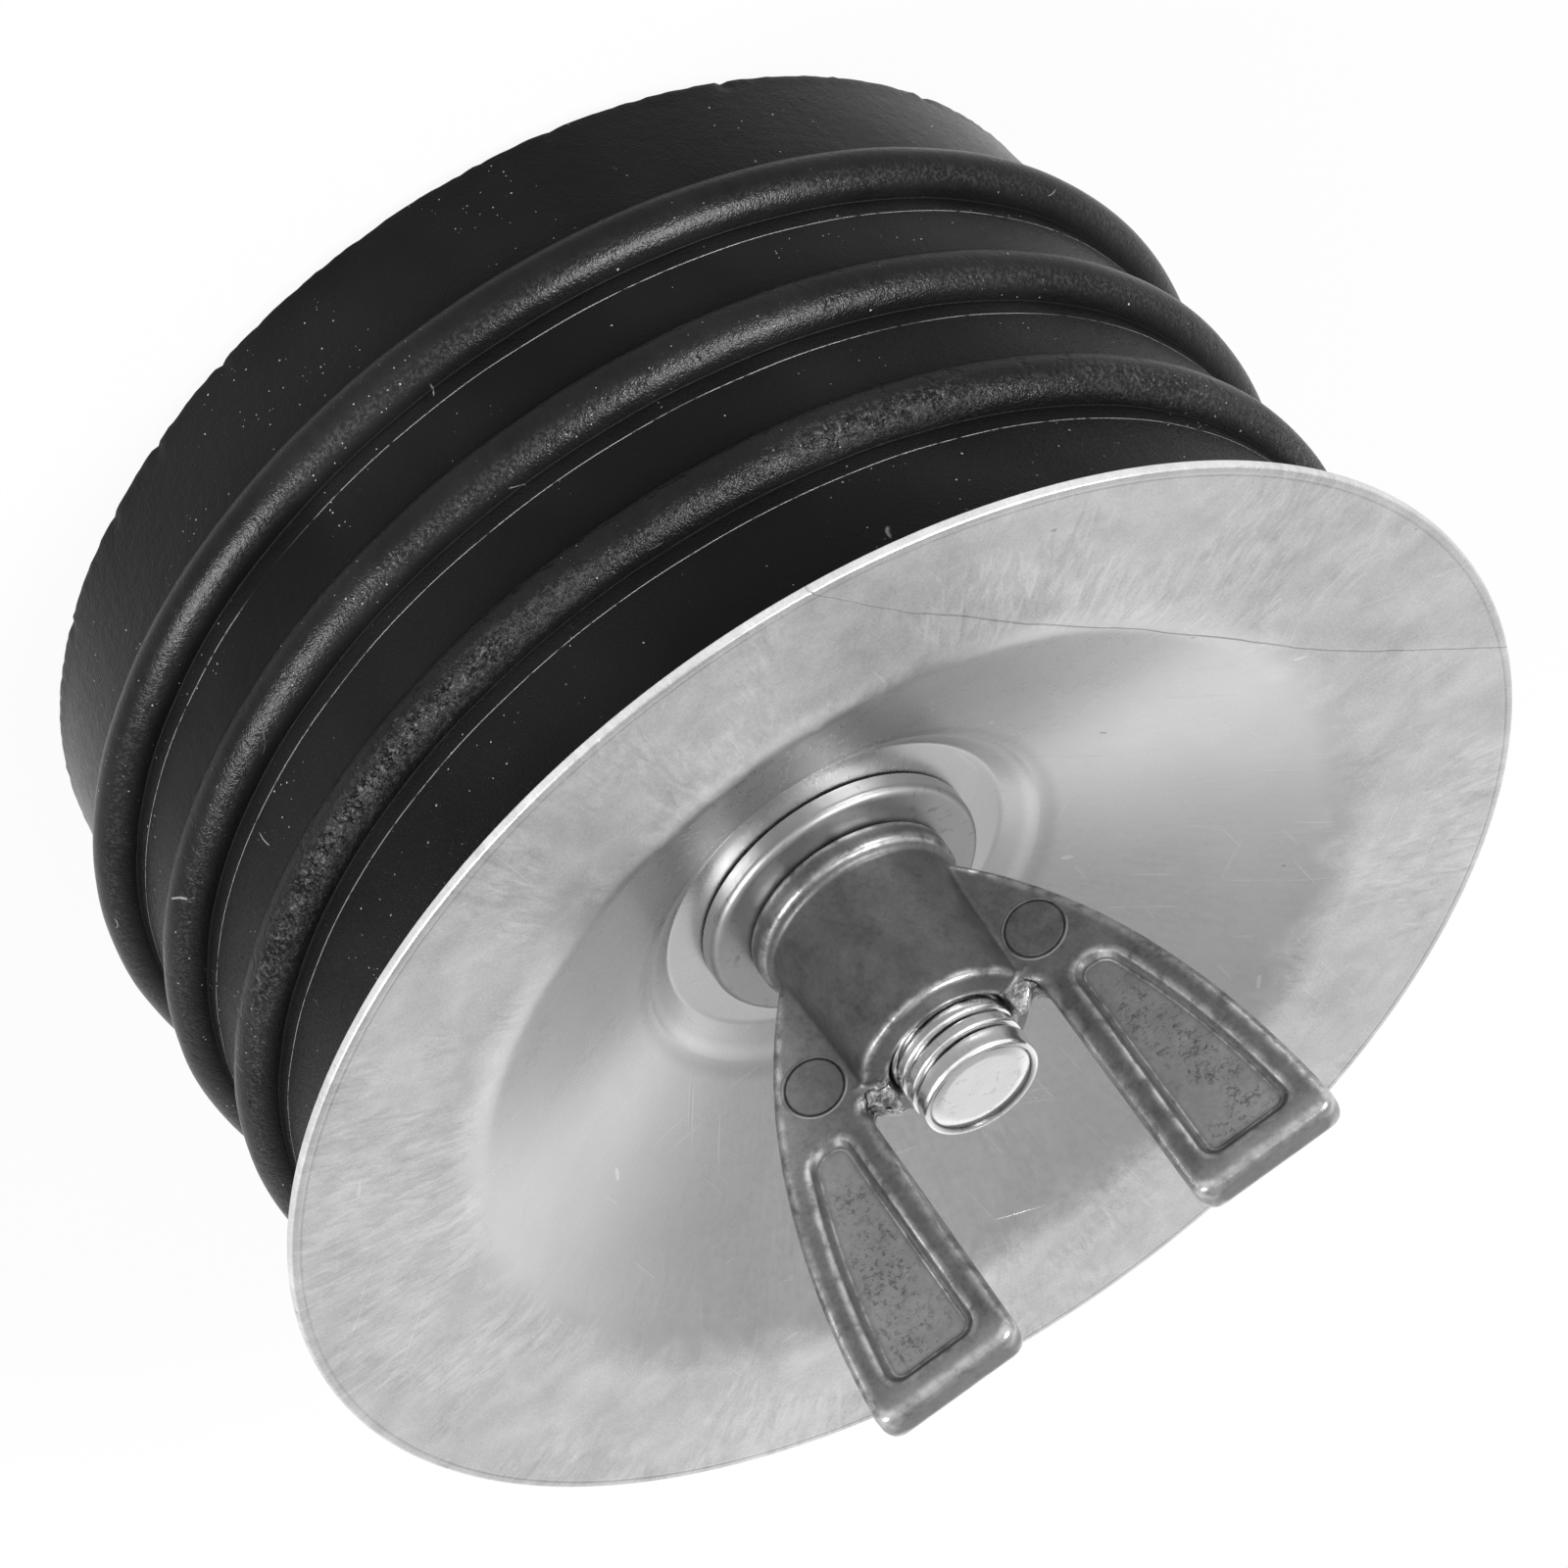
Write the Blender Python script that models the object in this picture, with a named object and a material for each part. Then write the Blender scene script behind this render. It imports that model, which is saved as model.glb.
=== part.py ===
# Pipe test plug: a wing nut draws two dished discs together on a carriage bolt and squeezes a rubber ring.
# Metres, +Z along the bolt towards the nut. The plug stands on the rear disc, with the origin at its foot.

import math

import bmesh
import bpy
from mathutils import Matrix

# Rubber ring
RING_BODY_RADIUS = 0.0468
RING_REAR_TAPER = 0.0014
RING_EDGE_RADIUS = 0.0005
RING_BORE_INSET = 0.0020
RIB_COUNT = 3
RIB_PITCH = 0.012
RIB_HEIGHT = 0.0023
RIB_BEAD_RADIUS = 0.0024
RIB_FRONT_FILLET = 0.0019
FIRST_RIB_FROM_REAR = 0.0139
LAST_RIB_FROM_FRONT = 0.0155

# Sheet discs. A land is the ring's end face that a flat flange bears on, from the ring's outside inwards.
SHEET_THICKNESS = 0.0009
DISH_BEND_RADIUS = 0.010
SEAT_MARGIN = 0.00295
SEAT_STEP_WIDTH = 0.0025
SEAT_STEP_HEIGHT = 0.0018
SEAT_INNER_BEND = 0.0003
FRONT_LAND_WIDTH = 0.0087
FRONT_FLANGE_OVERHANG = 0.0062
FRONT_DISH_DEPTH = 0.0129
REAR_LAND_WIDTH = 0.0108
REAR_FLANGE_WIDTH = 0.0075

# Carriage bolt
THREAD_DIAMETER = 0.010
THREAD_PITCH = 0.0015
THREAD_DEPTH_PER_PITCH = 0.613
THREAD_LENGTH = 0.026
THREAD_FADE_TURNS = 0.75
THREAD_FADE_FLOOR = 0.1
BOLT_END_ABOVE_NUT = 0.0046
BOLT_POINT_CHAMFER = 0.0006
SHANK_INSET = 0.0001
NECK_PAST_DISC = 0.0025
HEAD_LIP = 0.0020
HEAD_HEIGHT = 0.0050
HEAD_RIM = 0.0008
HEAD_RECESS = 0.0049

# Washers
THRUST_WASHER_MARGIN = 0.0030
THRUST_WASHER_THICKNESS = 0.0016
THRUST_WASHER_EDGE_RADIUS = 0.0007
SEAL_WIDTH = 0.0025
SEAL_THICKNESS = 0.0015

# Wing nut
NUT_WALL = 0.0027
NUT_FOOT_LIP = 0.00095
NUT_FOOT_HEIGHT = 0.0019
NUT_FOOT_EDGE_RADIUS = 0.0006
NUT_HUB_HEIGHT = 0.0152
NUT_HUB_EDGE_RADIUS = 0.0009
NUT_MOUTH_DEPTH = 0.0012
WING_RISE = 0.0247
WING_STANDOFF = 0.0004
WING_WIDTH = 0.01265
WING_THICKNESS = 0.0034
WING_ROOT_ABOVE_FOOT = 0.0010
WING_BULGE_INSET = 0.0018
WING_CORNER_RADIUS = 0.0016
WING_EDGE_BEVEL = 0.0007
PANEL_BORDER = 0.0021
PANEL_START_ABOVE_HUB = 0.0039
PANEL_DEPTH = 0.0006
PANEL_WALL_SLOPE = 0.0004
PANEL_CORNER_RADIUS = 0.0014

# Clearances
SEAT_GAP = 0.0003
DISC_HOLE_CLEARANCE = 0.0006
WASHER_HOLE_CLEARANCE = 0.0004
SEAL_HOLE_CLEARANCE = 0.0004
NUT_BORE_CLEARANCE = 0.0003
NECK_CLEARANCE = 0.0003

# Facets round each piece, and steps along the curves
DISC_SEGMENTS = 64
RING_SEGMENTS = 60
WASHER_SEGMENTS = 40
HUB_SEGMENTS = 36
THREAD_SEGMENTS = 18
HEAD_SEGMENTS = 36
CORNER_STEPS = 3
COARSE_CORNER_STEPS = 2
RIB_STEPS = 5
HEAD_STEPS = 6
WING_STEPS = 7
SMOOTH_UP_TO_DEGREES = 35
BEVEL_FROM_DEGREES = 60
CORNER_SHARE = 0.49

# How far a cutter reaches past what it cuts, and a joined piece into its neighbour
CUTTER_REACH = 0.002
JOIN_DEPTH = 0.0011

# Sizes that follow from the thread outwards
THREAD_RADIUS = THREAD_DIAMETER / 2
THREAD_DEPTH = THREAD_PITCH * THREAD_DEPTH_PER_PITCH
SQUARE_NECK_WIDTH = THREAD_DIAMETER
NUT_HUB_RADIUS = THREAD_RADIUS + NUT_WALL
NUT_FOOT_RADIUS = NUT_HUB_RADIUS + NUT_FOOT_LIP
THRUST_WASHER_RADIUS = NUT_FOOT_RADIUS + THRUST_WASHER_MARGIN
SEAT_RADIUS = THRUST_WASHER_RADIUS + SEAT_MARGIN
SEAT_BEND_RADIUS = SEAT_INNER_BEND + SHEET_THICKNESS
SEAL_BORE_RADIUS = SQUARE_NECK_WIDTH / math.sqrt(2) + SEAL_HOLE_CLEARANCE
SEAL_RADIUS = SEAL_BORE_RADIUS + SEAL_WIDTH
HEAD_RADIUS = SEAL_RADIUS + HEAD_LIP
WING_INNER_X = NUT_HUB_RADIUS + WING_STANDOFF
WING_OUTER_X = WING_INNER_X + WING_WIDTH
WING_TIP_HEIGHT = NUT_HUB_HEIGHT + WING_RISE

# Sizes that follow from the ring inwards
FRONT_DISH_RADIUS = RING_BODY_RADIUS - FRONT_LAND_WIDTH
FRONT_FLANGE_WIDTH = FRONT_LAND_WIDTH + FRONT_FLANGE_OVERHANG
REAR_DISH_RADIUS = RING_BODY_RADIUS - REAR_LAND_WIDTH
RING_BORE_RADIUS = min(FRONT_DISH_RADIUS, REAR_DISH_RADIUS) - RING_BORE_INSET
RING_LENGTH = FIRST_RIB_FROM_REAR + (RIB_COUNT - 1) * RIB_PITCH + LAST_RIB_FROM_FRONT

# Heights of the stack, each from the one below it
BOLT_HEAD_Z = HEAD_RECESS + HEAD_HEIGHT
SEAL_Z = BOLT_HEAD_Z + SEAT_GAP
REAR_DISH_DEPTH = SEAL_Z + SEAL_THICKNESS + SEAT_GAP
NECK_TOP_Z = REAR_DISH_DEPTH + SHEET_THICKNESS + NECK_PAST_DISC
RING_REAR_Z = SHEET_THICKNESS + SEAT_GAP
RING_FRONT_Z = RING_REAR_Z + RING_LENGTH
FRONT_DISC_Z = RING_FRONT_Z + SEAT_GAP + SHEET_THICKNESS
THRUST_WASHER_Z = FRONT_DISC_Z - FRONT_DISH_DEPTH + SEAT_GAP
NUT_Z = THRUST_WASHER_Z + THRUST_WASHER_THICKNESS + SEAT_GAP
BOLT_LENGTH = NUT_Z + NUT_HUB_HEIGHT + BOLT_END_ABOVE_NUT - BOLT_HEAD_Z


def clear_scene():
    for item in list(bpy.data.objects):
        bpy.data.objects.remove(item, do_unlink=True)


def make_material(name, colour, roughness, metallic):
    material = bpy.data.materials.new(name)
    material.use_nodes = True
    shader = material.node_tree.nodes["Principled BSDF"]
    shader.inputs["Base Color"].default_value = (*colour, 1.0)
    shader.inputs["Roughness"].default_value = roughness
    shader.inputs["Metallic"].default_value = metallic
    return material


def add_object(name, mesh_data, material, z=0.0):
    mesh = bpy.data.meshes.new(name)
    mesh_data.to_mesh(mesh)
    mesh_data.free()
    mesh.materials.append(material)
    mesh.shade_smooth()
    mesh.set_sharp_from_angle(angle=math.radians(SMOOTH_UP_TO_DEGREES))
    item = bpy.data.objects.new(name, mesh)
    item.location.z = z
    bpy.context.scene.collection.objects.link(item)
    return item


def hide_helper(item):
    item.hide_render = True
    item.display_type = "WIRE"


def add_boolean(item, operation, other):
    modifier = item.modifiers.new(f"{operation.title()} {other.name}", "BOOLEAN")
    modifier.operation = operation
    modifier.solver = "EXACT"
    modifier.object = other
    hide_helper(other)


def corner_arc(before, corner, after, radius, steps):
    """The points that round one corner of an outline. The radius is held to what the two sides can take."""
    to_before = (before[0] - corner[0], before[1] - corner[1])
    to_after = (after[0] - corner[0], after[1] - corner[1])
    length_before = math.hypot(*to_before)
    length_after = math.hypot(*to_after)
    cosine = (to_before[0] * to_after[0] + to_before[1] * to_after[1]) / (length_before * length_after)
    half_angle = math.acos(max(-1.0, min(1.0, cosine))) / 2
    run = radius / math.tan(half_angle)
    longest_run = CORNER_SHARE * min(length_before, length_after)
    if run > longest_run:
        run = longest_run
        radius = run * math.tan(half_angle)
    unit_before = (to_before[0] / length_before, to_before[1] / length_before)
    unit_after = (to_after[0] / length_after, to_after[1] / length_after)
    start = (corner[0] + unit_before[0] * run, corner[1] + unit_before[1] * run)
    end = (corner[0] + unit_after[0] * run, corner[1] + unit_after[1] * run)
    middle = (unit_before[0] + unit_after[0], unit_before[1] + unit_after[1])
    reach = radius / math.sin(half_angle) / math.hypot(*middle)
    centre = (corner[0] + middle[0] * reach, corner[1] + middle[1] * reach)
    start_angle = math.atan2(start[1] - centre[1], start[0] - centre[0])
    end_angle = math.atan2(end[1] - centre[1], end[0] - centre[0])
    turn = (end_angle - start_angle + math.pi) % (2 * math.pi) - math.pi
    angles = [start_angle + turn * step / steps for step in range(steps + 1)]
    return [(centre[0] + radius * math.cos(a), centre[1] + radius * math.sin(a)) for a in angles]


def rounded(corners, closed, steps=CORNER_STEPS):
    """An outline from corners (x, y, fillet radius). An open outline keeps its two ends as they are."""
    points = []
    count = len(corners)
    for index, (x, y, radius) in enumerate(corners):
        is_end = not closed and index in (0, count - 1)
        if is_end or radius <= 0:
            points.append((x, y))
            continue
        before = corners[index - 1][:2]
        after = corners[(index + 1) % count][:2]
        points.extend(corner_arc(before, (x, y), after, radius, steps))
    return points


def turned(outline, segments):
    """A closed ring turned about Z from an outline of (radius, height) that runs anticlockwise."""
    data = bmesh.new()
    rings = []
    for step in range(segments):
        angle = 2 * math.pi * step / segments
        ring = [data.verts.new((r * math.cos(angle), r * math.sin(angle), z)) for r, z in outline]
        rings.append(ring)
    for step in range(segments):
        near = rings[step]
        far = rings[(step + 1) % segments]
        for index in range(len(outline)):
            after = (index + 1) % len(outline)
            data.faces.new((near[index], far[index], far[after], near[after]))
    return data


def sheet_outline(path):
    """The closed outline of a pressed sheet. The path is its outer face, with the sheet to its left."""
    offset = []
    for index, (x, y) in enumerate(path):
        before = path[max(index - 1, 0)]
        after = path[min(index + 1, len(path) - 1)]
        side = (after[0] - before[0], after[1] - before[1])
        scale = SHEET_THICKNESS / math.hypot(*side)
        offset.append((x - side[1] * scale, y + side[0] * scale))
    return list(path) + offset[::-1]


def dish_path(dish_radius, flange_width, depth, hole_radius):
    """The outer face of a dished disc from its rim at height 0 down to its hole."""
    step_radius = SEAT_RADIUS + SEAT_STEP_WIDTH
    step_depth = depth - SEAT_STEP_HEIGHT
    corners = [
        (dish_radius + flange_width, 0.0, 0.0),
        (dish_radius, 0.0, DISH_BEND_RADIUS),
        (step_radius, -step_depth, SEAT_BEND_RADIUS),
        (SEAT_RADIUS, -depth, SEAT_BEND_RADIUS),
        (hole_radius, -depth, 0.0),
    ]
    return rounded(corners, closed=False)


def add_front_plate(material):
    hole_radius = THREAD_RADIUS + DISC_HOLE_CLEARANCE
    path = dish_path(FRONT_DISH_RADIUS, FRONT_FLANGE_WIDTH, FRONT_DISH_DEPTH, hole_radius)
    data = turned(sheet_outline(path), DISC_SEGMENTS)
    bmesh.ops.recalc_face_normals(data, faces=data.faces)
    return add_object("front_plate", data, material, FRONT_DISC_Z)


def add_rear_plate(material):
    """The rear disc faces the other way, and its square hole holds the bolt's neck."""
    hole_radius = SQUARE_NECK_WIDTH / 2 - CUTTER_REACH
    path = dish_path(REAR_DISH_RADIUS, REAR_FLANGE_WIDTH, REAR_DISH_DEPTH, hole_radius)
    data = turned(sheet_outline(path), DISC_SEGMENTS)
    bmesh.ops.transform(data, matrix=Matrix.Diagonal((1, 1, -1, 1)), verts=data.verts)
    bmesh.ops.recalc_face_normals(data, faces=data.faces)
    plate = add_object("rear_plate", data, material)
    cutter_data = bmesh.new()
    width = SQUARE_NECK_WIDTH + 2 * NECK_CLEARANCE
    height = SHEET_THICKNESS + 2 * CUTTER_REACH
    bmesh.ops.create_cube(cutter_data, size=1.0, matrix=Matrix.Diagonal((width, width, height, 1)))
    cutter = add_object("square_hole_cutter", cutter_data, material, REAR_DISH_DEPTH + SHEET_THICKNESS / 2)
    add_boolean(plate, "DIFFERENCE", cutter)
    return plate


def ring_mouth(dish_radius, depth):
    """The radius of the ring's mouth, which follows a disc's dish, and the depth where it meets the bore."""
    gap = SHEET_THICKNESS + SEAT_GAP
    run = dish_radius - SEAT_RADIUS - SEAT_STEP_WIDTH
    slope = math.atan2(depth - SEAT_STEP_HEIGHT, run)
    mouth_radius = dish_radius + gap * math.tan(slope / 2)
    bore_depth = (mouth_radius - RING_BORE_RADIUS) * math.tan(slope)
    return mouth_radius, bore_depth


def rib_points(centre_z):
    """One rib, walked towards the rear: its front fillet, its round bead and its square rear foot."""
    bead_radius = RING_BODY_RADIUS + RIB_HEIGHT - RIB_BEAD_RADIUS
    sunk = RING_BODY_RADIUS - bead_radius
    front_run = math.sqrt((RIB_BEAD_RADIUS + RIB_FRONT_FILLET) ** 2 - (RIB_FRONT_FILLET + sunk) ** 2)
    foot_angle = math.asin(sunk / RIB_BEAD_RADIUS)
    touch_angle = math.atan2(RIB_FRONT_FILLET + sunk, front_run)
    points = [(RING_BODY_RADIUS, centre_z + front_run)]
    for step in range(RIB_STEPS + 1):
        angle = touch_angle + (math.pi - foot_angle - touch_angle) * step / RIB_STEPS
        radius = bead_radius + RIB_BEAD_RADIUS * math.sin(angle)
        points.append((radius, centre_z + RIB_BEAD_RADIUS * math.cos(angle)))
    return points


def add_rubber_ring(material):
    front_mouth, front_depth = ring_mouth(FRONT_DISH_RADIUS, FRONT_DISH_DEPTH)
    rear_mouth, rear_depth = ring_mouth(REAR_DISH_RADIUS, REAR_DISH_DEPTH)
    mouth_fillet = DISH_BEND_RADIUS - SHEET_THICKNESS - SEAT_GAP
    rear_radius = RING_BODY_RADIUS - RING_REAR_TAPER
    inner = [
        (front_mouth, RING_LENGTH, mouth_fillet),
        (RING_BORE_RADIUS, RING_LENGTH - front_depth, 0.0),
        (RING_BORE_RADIUS, rear_depth, 0.0),
        (rear_mouth, 0.0, mouth_fillet),
    ]
    rear_edge = [(rear_radius, 0.0, RING_EDGE_RADIUS)]
    front_edge = [(RING_BODY_RADIUS, RING_LENGTH, RING_EDGE_RADIUS)]
    ribs = []
    for index in range(RIB_COUNT):
        points = rib_points(FIRST_RIB_FROM_REAR + index * RIB_PITCH)
        ribs.extend((r, z, 0.0) for r, z in points[::-1])
    outline = rounded(inner + rear_edge + ribs + front_edge, closed=True, steps=COARSE_CORNER_STEPS)
    data = turned(outline, RING_SEGMENTS)
    bmesh.ops.recalc_face_normals(data, faces=data.faces)
    return add_object("rubber_sleeve", data, material, RING_REAR_Z)


def washer_data(bore_radius, outer_radius, thickness, edge_radius):
    corners = [
        (bore_radius, 0.0, 0.0),
        (outer_radius, 0.0, 0.0),
        (outer_radius, thickness, edge_radius),
        (bore_radius, thickness, 0.0),
    ]
    data = turned(rounded(corners, closed=True), WASHER_SEGMENTS)
    bmesh.ops.recalc_face_normals(data, faces=data.faces)
    return data


def add_thrust_washer(material):
    bore_radius = THREAD_RADIUS + WASHER_HOLE_CLEARANCE
    data = washer_data(
        bore_radius, THRUST_WASHER_RADIUS, THRUST_WASHER_THICKNESS, THRUST_WASHER_EDGE_RADIUS
    )
    return add_object("thrust_washer", data, material, THRUST_WASHER_Z)


def add_seal_washer(material):
    """The seal lies on the bolt's head and clears the corners of its square neck."""
    data = washer_data(SEAL_BORE_RADIUS, SEAL_RADIUS, SEAL_THICKNESS, 0.0)
    return add_object("bolt_seal_washer", data, material, SEAL_Z)


def thread_rows(start_z):
    """Rows of a helical grid, two to a turn of thread: root, crest, root and so on. It fades in and out."""
    root_radius = THREAD_RADIUS - THREAD_DEPTH
    room = THREAD_LENGTH - BOLT_POINT_CHAMFER - THREAD_PITCH / 2
    turns = int(room / THREAD_PITCH) - 1
    rows = []
    for row in range(2 * turns + 1):
        line = []
        for segment in range(THREAD_SEGMENTS):
            turn = row / 2 + segment / THREAD_SEGMENTS
            from_end = min(turn, turns + 1 - turn)
            fade = min(1.0, max(THREAD_FADE_FLOOR, from_end / THREAD_FADE_TURNS))
            depth = THREAD_DEPTH * (row % 2) * fade
            angle = 2 * math.pi * segment / THREAD_SEGMENTS
            radius = root_radius + depth
            line.append((radius * math.cos(angle), radius * math.sin(angle), start_z + turn * THREAD_PITCH))
        rows.append(line)
    return rows


def ring_at(data, radius, z):
    angles = [2 * math.pi * step / THREAD_SEGMENTS for step in range(THREAD_SEGMENTS)]
    return [data.verts.new((radius * math.cos(a), radius * math.sin(a), z)) for a in angles]


def bridge(data, lower, upper):
    for index in range(len(lower)):
        after = (index + 1) % len(lower)
        data.faces.new((lower[index], lower[after], upper[after], upper[index]))


def close_thread_end(data, ring, row, seam):
    """Joins a level ring to the thread's slanting end. The seam climbs from the row's start by one turn."""
    last = len(ring) - 1
    for index in range(last):
        data.faces.new((ring[index], ring[index + 1], row[index + 1], row[index]))
    data.faces.new((ring[last], ring[0], seam[0], seam[-1], row[last]))
    data.faces.new(seam)


def shank_data():
    """The bolt's plain shank, thread and point as one closed mesh, standing on the head's underside."""
    data = bmesh.new()
    root_radius = THREAD_RADIUS - THREAD_DEPTH
    thread_start = BOLT_LENGTH - THREAD_LENGTH
    lines = thread_rows(thread_start + THREAD_PITCH / 2)
    rows = [[data.verts.new(point) for point in line] for line in lines]
    count = THREAD_SEGMENTS
    for index in range(len(rows) - 1):
        for segment in range(count - 1):
            near, far = rows[index], rows[index + 1]
            data.faces.new((near[segment], near[segment + 1], far[segment + 1], far[segment]))
        if index + 3 < len(rows):
            data.faces.new((rows[index][-1], rows[index + 2][0], rows[index + 3][0], rows[index + 1][-1]))
    shank_radius = THREAD_RADIUS - SHANK_INSET
    foot = ring_at(data, shank_radius, 0.0)
    shoulder = ring_at(data, shank_radius, thread_start - THREAD_DEPTH)
    neck = ring_at(data, root_radius, thread_start)
    bridge(data, foot, shoulder)
    bridge(data, shoulder, neck)
    close_thread_end(data, neck, rows[0], [rows[0][0], rows[1][0], rows[2][0]])
    collar = ring_at(data, root_radius, BOLT_LENGTH - BOLT_POINT_CHAMFER)
    point = ring_at(data, root_radius - BOLT_POINT_CHAMFER / 2, BOLT_LENGTH)
    close_thread_end(data, collar[::-1], rows[-1][::-1], [rows[-1][-1], rows[-2][-1], rows[-3][-1]])
    bridge(data, collar, point)
    data.faces.new(foot[::-1])
    data.faces.new(point)
    bmesh.ops.recalc_face_normals(data, faces=data.faces)
    return data


def head_data():
    """The domed head, a part of a sphere over a thin rim, with its flat underside at height 0."""
    dome_height = HEAD_HEIGHT - HEAD_RIM
    dome_radius = (HEAD_RADIUS**2 + dome_height**2) / (2 * dome_height)
    half_angle = math.asin(HEAD_RADIUS / dome_radius)
    outline = []
    for step in range(1, HEAD_STEPS + 1):
        angle = half_angle * step / HEAD_STEPS
        outline.append((dome_radius * math.sin(angle), dome_radius * (1 - math.cos(angle)) - HEAD_HEIGHT))
    outline.append((HEAD_RADIUS, 0.0))
    data = bmesh.new()
    pole = data.verts.new((0, 0, -HEAD_HEIGHT))
    rings = []
    for radius, z in outline:
        angles = [2 * math.pi * step / HEAD_SEGMENTS for step in range(HEAD_SEGMENTS)]
        rings.append([data.verts.new((radius * math.cos(a), radius * math.sin(a), z)) for a in angles])
    for step in range(HEAD_SEGMENTS):
        data.faces.new((pole, rings[0][(step + 1) % HEAD_SEGMENTS], rings[0][step]))
    for lower, upper in zip(rings, rings[1:]):
        bridge(data, lower, upper)
    data.faces.new(rings[-1])
    bmesh.ops.recalc_face_normals(data, faces=data.faces)
    return data


def add_carriage_bolt(material):
    """The head carries the square neck and the shank, each sunk a little into the piece below it."""
    bolt = add_object("carriage_bolt", head_data(), material, BOLT_HEAD_Z)
    neck_data = bmesh.new()
    length = NECK_TOP_Z - BOLT_HEAD_Z + JOIN_DEPTH
    size = (SQUARE_NECK_WIDTH, SQUARE_NECK_WIDTH, length, 1)
    bmesh.ops.create_cube(neck_data, size=1.0, matrix=Matrix.Diagonal(size))
    neck = add_object("neck_helper", neck_data, material, NECK_TOP_Z - length / 2)
    shank = add_object("shank_helper", shank_data(), material, BOLT_HEAD_Z)
    add_boolean(bolt, "UNION", neck)
    add_boolean(bolt, "UNION", shank)
    return bolt


def hub_data():
    """The nut's footed hub, turned about its bore, with a countersunk mouth at the top."""
    bore_radius = THREAD_RADIUS + NUT_BORE_CLEARANCE
    mouth_radius = bore_radius + NUT_MOUTH_DEPTH
    corners = [
        (bore_radius, 0.0, 0.0),
        (NUT_FOOT_RADIUS, 0.0, 0.0),
        (NUT_FOOT_RADIUS, NUT_FOOT_HEIGHT, NUT_FOOT_EDGE_RADIUS),
        (NUT_HUB_RADIUS, NUT_FOOT_HEIGHT + NUT_FOOT_EDGE_RADIUS, 0.0),
        (NUT_HUB_RADIUS, NUT_HUB_HEIGHT, NUT_HUB_EDGE_RADIUS),
        (mouth_radius, NUT_HUB_HEIGHT, 0.0),
        (bore_radius, NUT_HUB_HEIGHT - NUT_MOUTH_DEPTH, 0.0),
    ]
    data = turned(rounded(corners, closed=True), HUB_SEGMENTS)
    bmesh.ops.recalc_face_normals(data, faces=data.faces)
    return data


def wing_edge_share(root, guide, tip, z):
    """How far along the wing's quadratic outer edge a height lies, from 0 at the root to 1 at the tip."""
    squared = root[1] - 2 * guide[1] + tip[1]
    linear = 2 * (guide[1] - root[1])
    rise = z - root[1]
    return 2 * rise / (linear + math.sqrt(linear**2 + 4 * squared * rise))


def wing_edge(border, low, high):
    """Points up the wing's bowed outer edge between two heights, moved in by the border.

    The edge is a quadratic curve with one guide point, level with the top of the hub.
    """
    root = (NUT_HUB_RADIUS, NUT_FOOT_HEIGHT + WING_ROOT_ABOVE_FOOT)
    guide = (WING_OUTER_X - WING_BULGE_INSET, NUT_HUB_HEIGHT)
    tip = (WING_OUTER_X, WING_TIP_HEIGHT)
    start = wing_edge_share(root, guide, tip, low)
    end = wing_edge_share(root, guide, tip, high)
    points = []
    for step in range(WING_STEPS + 1):
        t = start + (end - start) * step / WING_STEPS
        x = (1 - t) ** 2 * root[0] + 2 * t * (1 - t) * guide[0] + t**2 * tip[0]
        z = (1 - t) ** 2 * root[1] + 2 * t * (1 - t) * guide[1] + t**2 * tip[1]
        slope_x = 2 * (1 - t) * (guide[0] - root[0]) + 2 * t * (tip[0] - guide[0])
        slope_z = 2 * (1 - t) * (guide[1] - root[1]) + 2 * t * (tip[1] - guide[1])
        length = math.hypot(slope_x, slope_z)
        points.append((x - border * slope_z / length, z + border * slope_x / length, 0.0))
    return points


def wing_outline():
    inside_hub = NUT_HUB_RADIUS - JOIN_DEPTH
    root_z = NUT_FOOT_HEIGHT + WING_ROOT_ABOVE_FOOT
    corners = [
        (inside_hub, root_z + JOIN_DEPTH, 0.0),
        *wing_edge(0.0, root_z, WING_TIP_HEIGHT - 2 * WING_CORNER_RADIUS),
        (WING_OUTER_X, WING_TIP_HEIGHT, WING_CORNER_RADIUS),
        (WING_INNER_X, WING_TIP_HEIGHT, WING_CORNER_RADIUS),
        (WING_INNER_X, NUT_HUB_HEIGHT + JOIN_DEPTH, 0.0),
        (inside_hub, NUT_HUB_HEIGHT - NUT_HUB_EDGE_RADIUS, 0.0),
    ]
    return rounded(corners, closed=True, steps=COARSE_CORNER_STEPS)


def panel_outline(border):
    """The sunken panel's outline inside the wing's border, blunt below and square at the tip."""
    inner_x = WING_INNER_X + border
    floor = NUT_HUB_HEIGHT + PANEL_START_ABOVE_HUB + border - PANEL_BORDER
    ceiling = WING_TIP_HEIGHT - border
    outer = wing_edge(border, floor + PANEL_CORNER_RADIUS, ceiling - 2 * PANEL_CORNER_RADIUS)
    corners = [
        (inner_x, floor, PANEL_CORNER_RADIUS),
        (outer[0][0] - PANEL_CORNER_RADIUS / 2, floor, PANEL_CORNER_RADIUS),
        *outer,
        (outer[-1][0], ceiling, PANEL_CORNER_RADIUS),
        (inner_x, ceiling, PANEL_CORNER_RADIUS),
    ]
    return rounded(corners, closed=True, steps=COARSE_CORNER_STEPS)


def prism(data, side, near_outline, near_y, far_outline, far_y):
    """A closed prism between two outlines of as many points, upright in the plane of X and Z."""
    near = [data.verts.new((side * x, near_y, z)) for x, z in near_outline]
    far = [data.verts.new((side * x, far_y, z)) for x, z in far_outline]
    bridge(data, near, far)
    data.faces.new(near[::-1])
    data.faces.new(far)


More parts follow.
